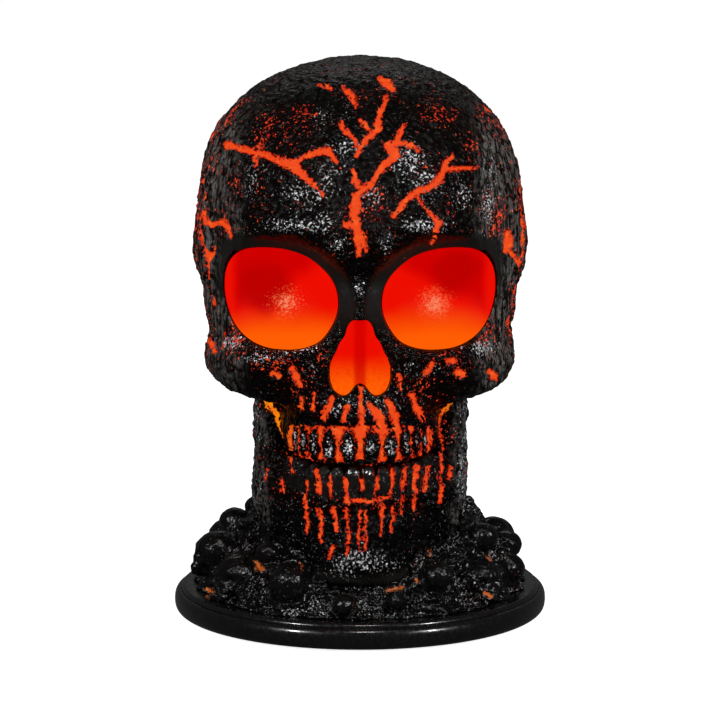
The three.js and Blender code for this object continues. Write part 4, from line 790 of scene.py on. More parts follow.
def noseInsert():
    # a cup: floor outside, wall, rim, wall inside, then a floor with a ridge down its middle
    gap, thick, frontY, floorY = insert["gap"], insert["wall"], insert["noseFrontY"], nose["floorY"]
    rings = [
        noseGrid(gap, [floorY + 1.4, floorY + 0.4, frontY + 0.4]), noseGrid(gap + 0.3, [frontY]),
        noseGrid(gap + thick, [frontY + 0.2, floorY - 1.6])]
    floor = noseGrid(gap + thick, [floorY] * 14)
    share = np.linspace(0.96, 0.04, 14)[:, None]
    floor[..., 0] *= share
    floor[..., 2] = nose["z"] + (floor[..., 2] - nose["z"]) * share
    ridge = insert["ridge"] * np.exp(-(floor[..., 0] / insert["ridgeHalf"]) ** 2)
    floor[..., 1] -= 0.6 + ridge * ease(-9, 3, floor[..., 2] - nose["z"])
    return makeObject("noseInsert", *closedGrid(np.concatenate(rings + [floor])[:, ::-1]))


print("building the inserts")
leftInsert, rightInsert = eyeInsert("eyeInsertLeft", -1), eyeInsert("eyeInsertRight", 1)
noseCup = noseInsert()

# the pile: rubble, balls and small skulls round the foot of the head
pile = {
    "footZ": 10.0, "reach": 60.2, "footRadius": 60.4, "topRadius": 38.0, "height": 30.0, "swell": 1.4,
    "rim": 62.6, "slopeShares": [(0, 0), (0.12, 0.16), (0.4, 0.34), (0.7, 0.6), (1, 1)], "columns": 220,
    "rows": 24, "caveRadius": 41.0, "caveTopZ": 17.8, "holeRadius": 21.5, "seatZ": 20.0, "skullRadius": 8.2,
    "pebbles": 900, "pebbleSizes": (0.9, 2.3), "voxel": 0.62,
    # compass angle from the front, how far out, how high, size, face or ball, turned aside, nod
    "skullShares": [
        (-29, 0.97, 0.34, 0.92, False, 0, 0), (-57, 0.985, 0.31, 0.94, True, 14, -4),
        (-76, 0.99, 0.47, 0.94, True, -8, -4), (-100, 0.84, 0.67, 0.66, False, 0, 0),
        (-110, 0.72, 0.82, 0.46, False, 0, 0), (-43, 0.86, 0.62, 0.5, False, 0, 0),
        (31, 0.96, 0.43, 0.70, False, 0, 0), (55, 0.985, 0.28, 0.88, True, -30, -6),
        (65, 0.88, 0.70, 0.66, False, 0, 0), (97, 0.88, 0.58, 0.64, False, 0, 0),
        (89, 0.95, 0.46, 0.66, False, 0, 0), (78, 0.985, 0.26, 0.7, False, 0, 0),
        (112, 0.98, 0.40, 0.9, False, 0, 0), (-6, 0.99, 0.16, 0.5, False, 0, 0),
        (13, 0.985, 0.2, 0.44, False, 0, 0), (133, 0.99, 0.38, 0.98, True, 10, -4),
        (160, 0.96, 0.62, 0.92, True, -20, -6), (-166, 0.99, 0.34, 1.0, True, 8, -2),
        (-138, 0.96, 0.55, 0.96, True, 14, -8), (-117, 0.99, 0.36, 0.9, True, -12, -4)],
}


def rotation(yaw, nod):
    # a turn about Z after a nod about X, in degrees
    c, s = math.cos(math.radians(yaw)), math.sin(math.radians(yaw))
    d, t = math.cos(math.radians(nod)), math.sin(math.radians(nod))
    return np.array([[c, -s, 0], [s, c, 0], [0, 0, 1]]) @ np.array([[1, 0, 0], [0, d, -t], [0, t, d]])


def ballGrid(rows, columns):
    # unit ball, its rings from the foot to the top
    polar = np.linspace(math.pi, 0, rows)[1:-1][:, None]
    turn = np.linspace(0, 2 * math.pi, columns, endpoint=False)[None, :]
    ring = np.sin(polar)
    return np.stack([ring * np.sin(turn), -ring * np.cos(turn), np.cos(polar) + 0 * turn], axis=-1)


def smallSkullGrid(hasFace):
    # a ball whose reach swells and sinks with the angle to each feature's direction
    way = ballGrid(50, 72)
    reach = np.ones(way.shape[:2])
    if hasFace:
        features = [((0, -0.72, -0.7), 0.42, 0.40), ((0, -0.5, -0.9), 0.34, 0.16)]
        for side in (-1, 1):
            features += [
                ((side * 0.37, -0.92, -0.14), 0.2, -0.36), ((side * 0.62, -0.72, -0.38), 0.17, 0.10),
                ((side * 0.36, -0.9, 0.16), 0.16, 0.07), ((side * 0.9, -0.3, -0.2), 0.3, -0.07),
                ((side * 0.07, -0.86, -0.46), 0.085, -0.2), ((side * 0.5, -0.55, -0.72), 0.2, -0.12)]
        for place, wide, push in features:
            place = np.array(place) / np.linalg.norm(place)
            reach = reach + push * np.exp(-(1 - way @ place) / (wide * wide / 2))
        teethBand = np.exp(-((way[..., 2] + 0.76) / 0.09) ** 2) * (way[..., 1] < -0.25)
        reach = reach + 0.022 * np.cos(26 * np.arctan2(way[..., 0], -way[..., 1])) * teethBand
    return way * reach[..., None] * np.array([1, 1.08, 0.96])


def rubbleGrid():
    # a ring whose outline swells and sinks round the pile, lower in front of the chin
    angle = np.linspace(0, 2 * math.pi, pile["columns"], endpoint=False)[None, :]
    level = np.linspace(0, 1, pile["rows"])[:, None]
    slope = np.interp(level, *zip(*pile["slopeShares"]))
    wave = np.sin(9 * angle + 6 * level) + np.sin(14 * angle - 5.1 * level)
    radius = mix(pile["footRadius"], pile["topRadius"], slope) - np.abs(wave) * pile["swell"]
    rise = pile["height"] * mix(1.0, 0.8, 0.5 - 0.5 * np.sin(5 * angle + 1))
    front = 1 - 0.4 * ease(0.86, 0.98, np.cos(angle))
    z = pile["footZ"] + level * rise * front
    return np.stack([radius * np.sin(angle), -radius * np.cos(angle), z], axis=-1)


def pebbleGrids(rng):
    # small balls strewn over the rubble, one unit grid scaled and placed by arrays
    unit, count = ballGrid(10, 12), pile["pebbles"]
    row, column = rng.integers(3, pile["rows"], count), rng.integers(0, pile["columns"], count)
    centre = rubbleGrid()[row, column] + rng.normal(0, 0.5, (count, 3))
    centre[:, 2] = np.maximum(centre[:, 2], pile["footZ"] + 1.5)
    size = rng.uniform(*pile["pebbleSizes"], count)[:, None] * rng.uniform(0.8, 1.2, (count, 3))
    return [closedGrid(unit * s + c) for s, c in zip(size, centre)]


def pileMasks(points):
    # rough between the skulls, smooth on them
    skulls = np.zeros(len(points))
    for place, radius in pilePlaces:
        away = np.linalg.norm(points - place, axis=1)
        skulls = np.maximum(skulls, 1 - ease(radius * 1.02, radius * 1.5, away))
    return 0.9 * (1 - skulls) + 0.12, 0.15 * (1 - skulls), skulls * 0.75


pileLines = [
    [(-36.8, 17.6, 1.0), (-34.7, 15.4, 1.2)], [(-53.8, 7.5, 0.6), (-52.1, 6.7, 0.7)],
    [(9.9, 8.2, 0.5), (14.2, 9.3, 0.8)], [(19.8, 12.2, 0.5), (19.8, 10.4, 0.5)],
    [(24.8, 23.4, 0.4), (24.8, 20.9, 0.5)], [(43.9, 6.7, 1.0), (45.7, 6.0, 1.0)],
    [(-21.3, 18.3, 0.3), (-20.2, 16.2, 0.4)], [(45.0, 20.1, 0.3), (45.7, 18.3, 0.4)],
]

print("building the pile")
pilePlaces, parts = [], [closedGrid(rubbleGrid())]
for compass, out, up, size, hasFace, turned, nod in pile["skullShares"]:
    angle = math.radians(compass)
    radius = pile["reach"] * out - pile["skullRadius"] * size
    rise = pile["footZ"] + pile["height"] * up
    place = np.array([radius * math.sin(angle), -radius * math.cos(angle), rise])
    grid = smallSkullGrid(hasFace) * pile["skullRadius"] * size
    parts.append(closedGrid(grid @ rotation(compass + turned, nod).T + place))
    pilePlaces.append((place, pile["skullRadius"] * size))
parts += pebbleGrids(np.random.default_rng(7))
skullPile = fused(makeObject("skullPile", *joined(parts)), pile["voxel"], 1)
crust(skullPile, pileLines, pileMasks, False)


def rod(radius, lowZ, highZ, sides=96):
    # an upright round cutter on the lamp's axis
    turn = np.linspace(0, 2 * math.pi, sides, endpoint=False)
    ring = np.stack([radius * np.cos(turn), radius * np.sin(turn), 0 * turn], axis=-1)
    return tool(np.stack([ring + (0, 0, lowZ), ring + (0, 0, highZ)]))


carved(skullPile, rod(pile["rim"], pile["footZ"], 60), "INTERSECT")
carved(skullPile, rod(pile["caveRadius"], 0, pile["caveTopZ"]))
carved(skullPile, rod(pile["holeRadius"], 0, 90))
carved(skullPile, tool(headGrid(wall, 30, 72, pile["seatZ"], False)))
carved(skullPile, tool(jawGrid(90, 40, 0.2)))
print("pile:", len(skullPile.data.vertices), "points")

# plinth: a turned ring with two beads, hollow below
plinth = {
    "radius": 66.0, "rimZ": 0.8, "topZ": 10.0, "lowDepth": 2.6, "lowHalf": 3.8, "lowPower": 2.5,
    "highBead": 1.5, "highInset": 2.4, "plateRadius": 60.3, "plateTopZ": 4.5, "ledgeRadius": 57.0,
    "deckRadius": 45.0, "deckThickness": 2.4, "edge": 0.3, "footInset": 0.6,
}


def plinthProfile():
    # radius and height round the section: foot, tall bead as a superellipse, groove, small bead, deck, ledge
    p = plinth
    lowX, lowZ, deckZ = p["radius"] - p["lowDepth"], p["rimZ"] + p["lowHalf"], p["topZ"] - p["deckThickness"]
    highX, highZ = p["radius"] - p["highInset"] - p["highBead"], p["topZ"] - p["highBead"]
    big, small = np.radians(np.linspace(-90, 84, 36)), np.radians(np.linspace(-56, 90, 24))
    x, z = [np.sign(wave) * np.abs(wave) ** (2 / p["lowPower"]) for wave in (np.cos(big), np.sin(big))]
    return np.concatenate([
        [[p["plateRadius"], p["rimZ"]], [lowX - p["footInset"], p["rimZ"]]],
        np.stack([lowX + p["lowDepth"] * x, lowZ + p["lowHalf"] * z], axis=-1),
        np.stack([highX + p["highBead"] * np.cos(small), highZ + p["highBead"] * np.sin(small)], axis=-1),
        [[highX - 2, p["topZ"]], [p["deckRadius"] + p["edge"], p["topZ"]],
         [p["deckRadius"], p["topZ"] - p["edge"]], [p["deckRadius"], deckZ], [p["ledgeRadius"], deckZ],
         [p["ledgeRadius"], p["plateTopZ"]], [p["plateRadius"], p["plateTopZ"]]]])


def latheRing(name, profile, segments):
    # a closed section turned about the lamp's axis
    turn = np.linspace(0, 2 * math.pi, segments, endpoint=False)[:, None]
    radius, height = profile[:, 0][None, :], profile[:, 1][None, :]
    grid = np.stack([radius * np.cos(turn), radius * np.sin(turn), height + 0 * turn], axis=-1)
    columns = len(profile)
    r, c = np.meshgrid(np.arange(segments), np.arange(columns), indexing="ij")
    nextRow, nextColumn = (r + 1) % segments, (c + 1) % columns
    corners = [(r, c), (nextRow, c), (nextRow, nextColumn), (r, nextColumn)]
    quads = np.stack([row * columns + column for row, column in corners], axis=-1)
    return makeObject(name, grid.reshape(-1, 3), quads.reshape(-1, 4))


print("building the plinth")
plinthRing = latheRing("plinthRing", plinthProfile(), 320)

for piece, node in (
        (faceShell, "face_shell"), (rearShell, "rear_shell"), (lowerJaw, "lower_jaw"),
        (leftInsert, "eye_insert_left"), (rightInsert, "eye_insert_right"), (noseCup, "nose_insert"),
        (skullPile, "skull_pile"), (plinthRing, "plinth")):
    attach(piece, "lamp")
    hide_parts(node)


class Link:
    # one socket of a finish; sums, differences and products with it add Math nodes
    def __init__(self, finish, socket):
        self.finish, self.socket = finish, socket

    def maths(self, operation, *values):
        return self.finish.maths(operation, *values)

    def __add__(self, other):
        return self.maths("ADD", self, other)

    def __sub__(self, other):
        return self.maths("SUBTRACT", self, other)

    def __rsub__(self, other):
        return self.maths("SUBTRACT", other, self)

    def __mul__(self, other):
        return self.maths("MULTIPLY", self, other)

    __radd__ = __add__
    __rmul__ = __mul__

    def over(self, low, high, start=0.0, end=1.0):
        # smooth step from start to end between two limits
        values = {"Value": self, "From Min": low, "From Max": high, "To Min": start, "To Max": end}
        return self.finish.node("MapRange", {"interpolation_type": "SMOOTHSTEP"}, values)


class Finish:
    # one material: node() adds any node, surface() fills the shader's sockets
    def __init__(self, name):
        self.material = bpy.data.materials.new(name)
        self.material.use_nodes = True
        self.tree = self.material.node_tree
        self.shader = self.tree.nodes["Principled BSDF"]

    def fill(self, node, values):
        for key, value in values.items():
            target = node.inputs[key]
            if isinstance(value, Link):
                self.tree.links.new(value.socket, target)
            elif target.type == "RGBA":
                target.default_value = (*value, 1.0)
            else:
                target.default_value = value

    def node(self, kind, settings=None, values=None, output=0):
        made = self.tree.nodes.new("ShaderNode" + kind)
        for key, value in (settings or {}).items():
            setattr(made, key, value)
        self.fill(made, values or {})
        return Link(self, made.outputs[output])

    def surface(self, **values):
        self.fill(self.shader, {key.replace("_", " "): value for key, value in values.items()})
        return self

    def maths(self, operation, *values):
        return self.node("Math", {"operation": operation}, dict(enumerate(values)))

    def place(self, stretch=(1.0, 1.0, 1.0)):
        # Object coordinates, stretched where asked
        where = self.node("TexCoord", output=3)
        plain = stretch == (1.0, 1.0, 1.0)
        return where if plain else self.node("Mapping", {}, {"Vector": where, "Scale": stretch})

    def grain(self, size, detail=2.0, stretch=(1.0, 1.0, 1.0), roughness=0.5):
        # noise from 0 to 1, its grains about size millimetres across
        return self.node("TexNoise", {}, {
            "Vector": self.place(stretch), "Scale": 1000.0 / size, "Detail": detail, "Roughness": roughness})

    def cells(self, size, stretch=(1.0, 1.0, 1.0)):
        return self.node("TexVoronoi", {}, {"Vector": self.place(stretch), "Scale": 1000.0 / size})

    def painted(self, name):
        return self.node("Attribute", {"attribute_name": name}, output=2)

    def between(self, factor, first, second):
        return self.node("Mix", {"data_type": "RGBA"}, {0: factor, 6: first, 7: second}, 2)

    def relief(self, height, strength, distance=0.001):
        return self.node("Bump", {}, {"Height": height, "Strength": strength, "Distance": distance})


black = (0.0, 0.0, 0.0)

# crust: black, glossy and pebbled, with glowing cracks, sprinkled embers, grey streaks that are partly ash
# and partly painted sheen, and painted glints as pale specks
crustLook = {
    "dark": (0.0012, 0.0011, 0.001), "stone": (0.0045, 0.0042, 0.004), "ashColour": (0.21, 0.198, 0.184),
    "smooth": (0.017, 0.016, 0.0148), "singed": (0.008, 0.002, 0.0015), "silver": (0.88, 0.88, 0.9),
    "groove": (0.02, 0.003, 0.001), "crackHot": (0.84, 0.066, 0.009), "crackRim": (0.36, 0.006, 0.003),
    "crackWhite": (0.93, 0.11, 0.016), "crackYellow": (0.95, 0.27, 0.004), "ember": (0.80, 0.065, 0.013),
    "emberDim": (0.40, 0.012, 0.008), "roughLow": 0.12, "roughHigh": 0.26, "smoothRough": 0.2,
    "gloss": 0.09, "relief": 0.9,
}


def crustFinish(name, look):
    f = Finish(name)
    lava, ember, ash, smoothed, silver, warmth = [
        f.painted(name) for name in ("lava", "ember", "ash", "smoothed", "silver", "warmth")]
    pebbles, dots = f.cells(1.25), f.cells(0.8)
    ragged = lava - (pebbles - 0.42) * 1.1 + (f.grain(1.5, 4.0, roughness=0.62) - 0.5) * 2.9
    crack = ragged.over(0.14, -0.06)
    hot = ragged.over(0.15, -0.75)
    fleck = f.grain(1.5, 4.0, roughness=0.66) - (dots - 0.4) * 0.22
    speck = (fleck - 0.72 + ember * 0.215).over(0.0, 0.03)
    streaks = f.grain(1.1, 3.0, (1.0, 1.0, 0.13))
    base = f.between(f.grain(1.3, 2.0).over(0.4, 0.75), look["dark"], look["stone"])
    base = f.between(smoothed, base, look["smooth"])
    # grey streaks, partly ash and partly painted sheen from the side lamps
    greyStreaks = streaks.over(0.4, 0.62) * f.grain(2.6, 3.0).over(0.36, 0.56)
    base = f.between(ash * greyStreaks, base, look["ashColour"])
    base = f.between(ember * 0.8, base, look["singed"])
    # painted highlights: pale specks that stand in for glints, denser where more glint is painted
    glint = f.grain(0.9, 3.0, roughness=0.64) - (dots - 0.4) * 0.12
    bright = (glint - 0.725 + silver * 0.19).over(0.0, 0.1) * (1.0 - speck)
    base = f.between(bright, base, look["silver"])
    base = f.between(crack, base, look["groove"])
    glow = f.between(hot, look["crackRim"], look["crackHot"])
    glow = f.between(f.grain(3.0, 2.0).over(0.5, 0.72), glow, look["crackWhite"])
    glow = f.between(warmth * f.grain(3.5, 2.0).over(0.3, 0.6, 0.5), glow, look["crackYellow"])
    sparks = f.between(f.grain(2.4, 2.0).over(0.42, 0.54), look["emberDim"], look["ember"])
    shine = f.between(speck, black, sparks)
    shine = f.between(crack, shine, glow)
    height = (1.0 - f.cells(2.1)) * (1.0 - smoothed) + streaks * ash * 0.8
    height = height + f.grain(1.5, 3.0) * (1.0 - smoothed * 0.8) * 0.8
    rough = f.grain(2.1, 2.0).over(0.35, 0.7, look["roughLow"], look["roughHigh"])
    rough = rough + ash * 0.2 + crack * 0.3 + smoothed * look["smoothRough"]
    return f.surface(
        Base_Color=base, Roughness=rough, Metallic=bright * 0.2, Emission_Color=shine, Emission_Strength=1.0,
        Specular_IOR_Level=look["gloss"], Normal=f.relief(height, look["relief"], 0.001)).material


# where embers crowd in the front view: across, up as the camera sees it, half sizes, strength
emberPatches = [
    (-14, 195, 17, 4, 0.45), (9, 190, 6, 4, 0.7), (29, 181, 13, 8, 0.85), (-33, 173, 7, 11, 0.85),
    (-20, 178, 7, 5, 0.8), (-22, 163, 9, 8, 0.5), (5, 145, 6.5, 7, 1.0), (-4, 140, 7, 5, 0.7),
    (26, 157, 8, 8, 0.6), (31, 145, 7, 8, 0.6), (-35, 148, 4, 10, 0.55), (-49, 138, 7, 10, 0.9),
    (50, 142, 7, 24, 1.05), (-45, 154, 5, 10, 0.6), (-46, 98, 9, 8, 1.0), (-30, 90, 10, 5, 0.8),
    (31, 91, 11, 5, 0.8), (46, 100, 9, 7, 0.85), (-20, 82, 9, 10, 0.7), (20, 82, 9, 10, 0.75),
    (-14, 92, 4, 8, 0.7), (14, 92, 4, 8, 0.7), (40, 170, 6, 9, 0.7), (-42, 118, 4, 12, 0.5),
    (46, 118, 3, 10, 0.6), (0, 185, 10, 5, 0.45), (14, 168, 8, 8, 0.35)]


def patched(across, up, patches):
    # the strongest of several round patches at each place
    return np.max(bumps(patches, across, up), axis=0)


# where glints are painted on the crust as pale specks, in the same way
silverPatches = [
    (-9, 157, 11, 9, 1.05), (16, 160, 10, 10, 1.15), (22, 153, 7, 8, 1.15), (-19, 150, 12, 7, 1.15),
    (-3, 167, 9, 6, 1.1), (4, 150, 7, 8, 1.2), (-22, 138.5, 15, 3.6, 1.35), (24, 139, 12, 3.8, 1.3),
    (-7, 132, 4, 6, 1.1), (9, 132, 4, 6, 1.2), (-12, 141, 6, 4, 1.1), (45, 146, 4, 10, 1.25),
    (48, 160, 5, 12, 1.15), (44, 134, 5, 4, 1.0), (-13, 177, 5, 5, 0.8), (-4, 180, 4, 5, 0.8),
    (-16, 189, 9, 2.5, 1.0), (0, 117, 2.5, 5, 1.2), (-38, 151, 5, 6, 0.7), (-51, 130, 3, 4, 1.1),
    (-46, 97, 9, 3.5, 1.4), (-24, 96, 13, 3.5, 1.5), (-36, 91, 9, 3, 1.1), (30, 97, 12, 3, 1.1),
    (45, 95, 8, 4, 1.4), (-3, 102, 9, 3, 0.5), (0, 60, 26, 5, 0.6), (0, 76, 24, 9, 0.95),
    (-37, 158, 7, 10, 0.8), (36, 150, 6, 9, 1.0), (28, 88, 8, 3, 0.9), (-17, 88, 5, 5, 0.8),
    (17, 88, 5, 5, 0.8)]


# where the cracks beside the mouth burn yellow
warmPatches = [(-30, 72, 6, 9, 1.15), (31, 76, 3.5, 5, 0.7), (-26, 61, 2, 4, 0.5)]


def seen(points):
    # across and up as the camera sees it
    return points[:, 0], points[:, 2] + lean * points[:, 1]


def paintAll(target, **values):
    # several painted values at once
    for name, share in values.items():
        paint(target, name, share)


def paintHead(target):
    # where embers, grey streaks of ash and painted sheen, painted glints and smooth bevels lie on a shell of
    # the head
    points, normals = readPoints(target)
    x, y, z = points.T
    outer = np.sum((points - [0, head["axisY"], 110]) * normals, axis=1) >= 0
    smoothed = headMasks(points)[2]
    rough = 1 - smoothed
    front = 1 - ease(-30, -8, y)
    ember = (0.12 + 0.88 * patched(*seen(points), emberPatches)) * front
    strewn = 0.42 + 0.45 * np.abs(roughNoise(points, 22, 84, 2))
    ember = np.maximum(ember, strewn * (1 - front) * (1 - 0.6 * ease(178, 192, z)))
    # grey streaks, partly painted sheen: stronger on the right temple, where the brighter lamp shines, some
    # on the back, and less low on the face and on the crown
    ash = ease(38, 46, np.abs(x)) * np.where(x > 0, 1.5, 0.9) + (1 - front) * 0.6
    fading = (1 - 0.6 * (1 - ease(84, 96, z))) * (1 - 0.75 * ease(172, 188, z))
    # painted highlights on the upper crowns and in the glint patches, and a few on the back
    crowns = [(across, up, wide * 0.7, tall * 0.6, 1.5) for across, up, wide, tall in crownSpots()]
    shown = np.maximum(patched(*seen(points), silverPatches), patched(*seen(points), crowns)) * front
    shown = shown + 0.25 * (1 - front) * (1 - ease(160, 180, z))
    paintAll(
        target, lava=np.where(outer, lavaDistance(points, frontLines), 20), smoothed=smoothed,
        ember=np.clip(ember + 0.2 * roughNoise(points, 6, 81, 2), 0, 1.1) * rough * outer,
        ash=np.clip(ash, 0, 1.5) * fading * rough,
        silver=np.clip(shown + 0.25 * roughNoise(points, 6, 86, 2), 0, 1.5) * rough * outer,
        warmth=np.clip(patched(*seen(points), warmPatches), 0, 1) * front)


def paintJaw(target):
    # the same on the jaw: its branches grey with ash and painted sheen, and painted glints on its branches
    # (more on the right), its chin, the tops of its teeth and a few everywhere
    points, _ = readPoints(target)
    x, up = seen(points)
    z, smoothed = points[:, 2], jawMasks(points)[2]
    beside = ease(30, 36, np.abs(x))
    ember = 0.3 + 0.35 * roughNoise(points, 10, 82, 2) - 0.5 * (1 - ease(34, 52, z))
    chin, tops = 1.32 * bump(x / 18, (up - 18) / 6), 1.1 * bump(x / 24, (up - 50.5) / 1.6)
    shown = np.max([beside * np.where(x > 0, 0.95, 0.8), chin, tops, 0 * x + 0.35], axis=0)
    paintAll(
        target, lava=lavaDistance(points, jawLines, False), ember=np.clip(ember, 0, 1) * (1 - smoothed),
        ash=beside * 0.7, smoothed=smoothed, warmth=np.clip(patched(x, up, warmPatches), 0, 1),
        silver=np.clip(shown + 0.3 * roughNoise(points, 6, 87, 2), 0, 1.4))


def paintPile(target):
    # few embers, and painted glints, fewer on the skulls than between them
    points, _ = readPoints(target)
    smoothed = pileMasks(points)[2]
    silver = np.clip(0.55 + 0.5 * roughNoise(points, 8, 88, 2), 0, 1.3)
    paintAll(
        target, lava=lavaDistance(points, pileLines, False), ash=0 * smoothed, smoothed=smoothed,
        ember=np.clip(0.25 * roughNoise(points, 14, 83, 2), 0, 1), silver=silver * (1 - 0.7 * smoothed))


print("painting")
for shell in (faceShell, rearShell):
    paintHead(shell)
paintJaw(lowerJaw)
paintPile(skullPile)


# the inserts' colours, and for each kind: heights as the camera sees them between which red turns
# deep and orange fades, and how far these limits slant and bend with the distance from the middle
glow = {
    "body": (0.01, 0.0, 0.0), "red": (0.84, 0.004, 0.0), "deep": (0.62, 0.0, 0.0),
    "orange": (1.0, 0.114, 0.001), "cloud": (0.50, 0.0, 0.0), "spot": (0.95, 0.30, 0.16),
    "halo": (0.98, 0.17, 0.05), "waver": 4.0, "bend": 0.008,
    "eye": {
        "deepBand": (114.0, 123.0), "orangeBand": (112.5, 97.5), "slant": 0.54, "middle": 26.0,
        "edgeBand": (41.5, 46.0),
        "clouds": [((-34.0, -28.0, 123.5), 13.0), ((33.3, -29.0, 129.4), 12.0)],
        "spots": [
            ((-25.2, -26.0, 116.4), 4.4, 0.9), ((25.6, -26.0, 115.9), 5.4, 0.5),
            ((-19.1, -27.0, 115.0), 2.0, 0.9)]},
    "nose": {
        "deepBand": (130.0, 140.0), "orangeBand": (94.5, 80.0), "slant": 0.0, "middle": 0.0,
        "edgeBand": (40.0, 50.0), "clouds": [], "spots": [], "ridge": 2.2},
}


def glowFinish(name, look):
    # translucent plastic lit from behind: deep red above, orange below, clouds, and a pale frosted spot over
    # each lamp that is partly the lamp's hot spot and partly a painted highlight
    f = Finish(name)
    where = f.place()
    x, y, z = [f.node("SeparateXYZ", {}, {"Vector": where}, k) * 1000.0 for k in range(3)]
    beside = f.maths("ABSOLUTE", x) - look["middle"]
    rise = z + y * lean + (f.grain(12.0, 1.0) - 0.5) * glow["waver"]
    edge = beside.over(*[limit - look["middle"] for limit in look["edgeBand"]])
    deep = (rise + beside * look["slant"]).over(*look["deepBand"]) * (1.0 - edge)
    colour = f.between(deep, glow["red"], glow["deep"])
    warm = (rise + beside * beside * glow["bend"]).over(*look["orangeBand"])
    colour = f.between(warm, colour, glow["orange"])

    def away(centre):
        # distance from a place, in millimetres
        values = {0: where, 1: tuple(c * mm for c in centre)}
        return f.node("VectorMath", {"operation": "DISTANCE"}, values, 1) * 1000.0

    for centre, radius in look["clouds"]:
        cloud = away(centre) + (f.grain(9.0, 2.0) - 0.5) * 6.0
        colour = f.between(cloud.over(radius, radius * 0.4), colour, glow["cloud"])
    # pale spots, partly the lamps' hot spots and partly painted highlights of the soft boxes, with a halo
    # round each
    for centre, radius, frosting in look["spots"]:
        frost = (f.grain(0.75, 3.0, roughness=0.72) - 0.5) * radius * 4.0 * frosting
        halo = (away(centre) + frost * 1.5).over(radius * 1.5, radius * 0.5, 0.0, 0.5)
        colour = f.between(halo, colour, glow["halo"])
        colour = f.between((away(centre) + frost).over(radius, radius * 0.25, 0.0, 0.9), colour, glow["spot"])
    if "ridge" in look:
        colour = f.between((x * x).over((look["ridge"] * 1.3) ** 2, 0.3, 0.0, 0.8), colour, glow["deep"])
        colour = f.between((f.grain(0.9, 3.0) - 0.5).over(0.03, 0.14, 0.0, 0.35), colour, glow["red"])
    return f.surface(
        Base_Color=glow["body"], Roughness=0.5, Emission_Color=colour, Emission_Strength=1.0,
        Specular_IOR_Level=0.02, Normal=f.relief(f.grain(0.9, 3.0), 0.12, 0.0004)).material


def plainFinish(name, light, dark, size, roughness, metallic=0.0, relief=0.15, coat=0.0):
    # a moulded or plated surface: two close tones in a fine grain, with matching relief
    f = Finish(name)
    grain = f.grain(size, 3.0)
    return f.surface(
        Base_Color=f.between(grain.over(0.35, 0.65), dark, light), Metallic=metallic,
        Roughness=grain.over(0.3, 0.7, roughness - 0.06, roughness + 0.06), Coat_Weight=coat,
        Normal=f.relief(grain, relief, 0.0002)).material


def dressed(item, material):
    # the material in place of all that the piece had
    item.data.materials.clear()
    item.data.materials.append(material)


shellCrust = crustFinish("lavaCrust", crustLook)
pileCrust = crustFinish("glossyRubble", {
    **crustLook, "smooth": (0.003, 0.003, 0.003), "crackHot": (0.45, 0.10, 0.015),
    "crackRim": (0.12, 0.02, 0.004), "crackWhite": (0.6, 0.16, 0.03), "ember": (0.35, 0.09, 0.02),
    "emberDim": (0.08, 0.014, 0.004), "roughLow": 0.08, "roughHigh": 0.2, "smoothRough": 0.08, "gloss": 0.3,
    "relief": 1.0})
finishes = {
    faceShell: shellCrust, rearShell: shellCrust, lowerJaw: shellCrust, skullPile: pileCrust,
    leftInsert: glowFinish("glowingEye", glow["eye"]), noseCup: glowFinish("glowingNose", glow["nose"]),
    plinthRing: plainFinish(
        "glossBlack", (0.004, 0.004, 0.0042), (0.002, 0.002, 0.0021), 1.5, 0.24, relief=0.12, coat=0.4),
}
finishes[rightInsert] = finishes[leftInsert]
for piece, material in finishes.items():
    dressed(piece, material)

plastic = plainFinish("mouldedPlastic", (0.018, 0.018, 0.019), (0.011, 0.011, 0.012), 0.5, 0.5)
rubber = plainFinish("footRubber", (0.022, 0.022, 0.022), (0.012, 0.012, 0.012), 0.8, 0.82, relief=0.3)
steel = plainFinish("platedSteel", (0.62, 0.63, 0.64), (0.50, 0.51, 0.53), 0.9, 0.3, 1.0, 0.1)
wrap = plainFinish("cellWrap", (0.035, 0.11, 0.33), (0.028, 0.09, 0.28), 2.0, 0.35, 0.2, 0.05)
board = plainFinish("solderMask", (0.72, 0.71, 0.67), (0.66, 0.65, 0.61), 1.2, 0.45)
redWire = plainFinish("redSleeve", (0.50, 0.02, 0.015), (0.40, 0.015, 0.012), 1.0, 0.45)
blackWire = plainFinish("blackSleeve", (0.02, 0.02, 0.02), (0.012, 0.012, 0.012), 1.0, 0.45)
lens = Finish("lampLens").surface(
    Base_Color=(0.9, 0.25, 0.05), Roughness=0.15, Emission_Color=(1.0, 0.25, 0.03),
    Emission_Strength=2.0).material
# the pieces that stay as the frame has them: a material, then how their names start; the first row counts
dress = [
    (plastic, "base_plate", "battery_door", "battery_box", "switch_knob", "led_post"), (board, "led_board"),
    (blackWire, "resistor", "wire_minus"), (redWire, "wire_plus", "wire_switched"), (rubber, "rubber_foot"),
    (steel, "switch_body", "plate_screw", "head_screw", "contact"), (wrap, "battery_"), (lens, "led_"),
]
for name, item in frame["nodes"].items():
    found = [material for material, *starts in dress if name.startswith(tuple(starts))]
    if found:
        dressed(item, found[0])

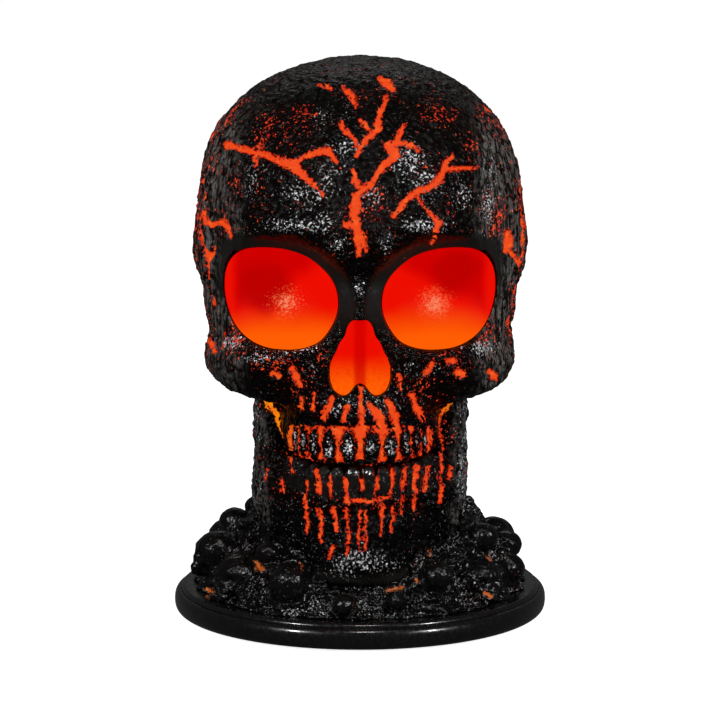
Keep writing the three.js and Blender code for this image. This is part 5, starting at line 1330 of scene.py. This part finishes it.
# floor, world and lights
studio = {"floor": (0.9, 0.9, 0.9), "floorHalf": 6000.0, "floorGlow": 0.9, "world": 0.06}
square = np.array([[-1, -1, 0], [1, -1, 0], [1, 1, 0], [-1, 1, 0]])
floor = makeObject("floor", square * studio["floorHalf"], np.array([[0, 1, 2, 3]]))
paper = Finish("paper").surface(
    Base_Color=studio["floor"], Roughness=0.9, Specular_IOR_Level=0.1, Emission_Color=(1, 1, 1),
    Emission_Strength=studio["floorGlow"])
floor.data.materials.append(paper.material)
floor.visible_glossy = floor.visible_diffuse = False

world = bpy.data.worlds.new("studio")
bpy.context.scene.world = world
world.use_nodes = True
nodes, links = world.node_tree.nodes, world.node_tree.links
# white behind the lamp for the camera, and dim for everything else
backdrop, lit = nodes["Background"], nodes.new("ShaderNodeBackground")
backdrop.inputs["Color"].default_value = lit.inputs["Color"].default_value = (1, 1, 1, 1)
lit.inputs["Strength"].default_value = studio["world"]
choice, ray = nodes.new("ShaderNodeMixShader"), nodes.new("ShaderNodeLightPath")
links.new(ray.outputs["Is Camera Ray"], choice.inputs[0])
links.new(lit.outputs[0], choice.inputs[1])
links.new(backdrop.outputs[0], choice.inputs[2])
links.new(choice.outputs[0], nodes["World Output"].inputs[0])

# soft boxes: place, size, power in watts; all aim at the middle of the lamp
lights = {
    "boxLeft": ((-0.7, -0.75, 0.6), (0.1, 0.2), 5.2), "boxRight": ((0.75, -0.7, 0.55), (0.09, 0.18), 5.6),
    "boxTop": ((0.05, -0.6, 0.9), (0.16, 0.08), 1.7), "boxBack": ((0.0, 0.9, 0.6), (0.5, 0.3), 0.35),
}
for name, (spot, size, power) in lights.items():
    lamp = bpy.data.objects.new(name, bpy.data.lights.new(name, "AREA"))
    lamp.data.shape = "RECTANGLE"
    lamp.data.size, lamp.data.size_y, lamp.data.energy = *size, power
    lamp.location = spot
    toward = np.array([0, 0, 0.1]) - np.array(spot)
    flat = math.hypot(toward[0], toward[1])
    lamp.rotation_euler = (math.atan2(flat, -toward[2]), 0, math.atan2(-toward[0], toward[1]))
    bpy.context.scene.collection.objects.link(lamp)

bpy.context.scene.view_settings.view_transform = "Standard"
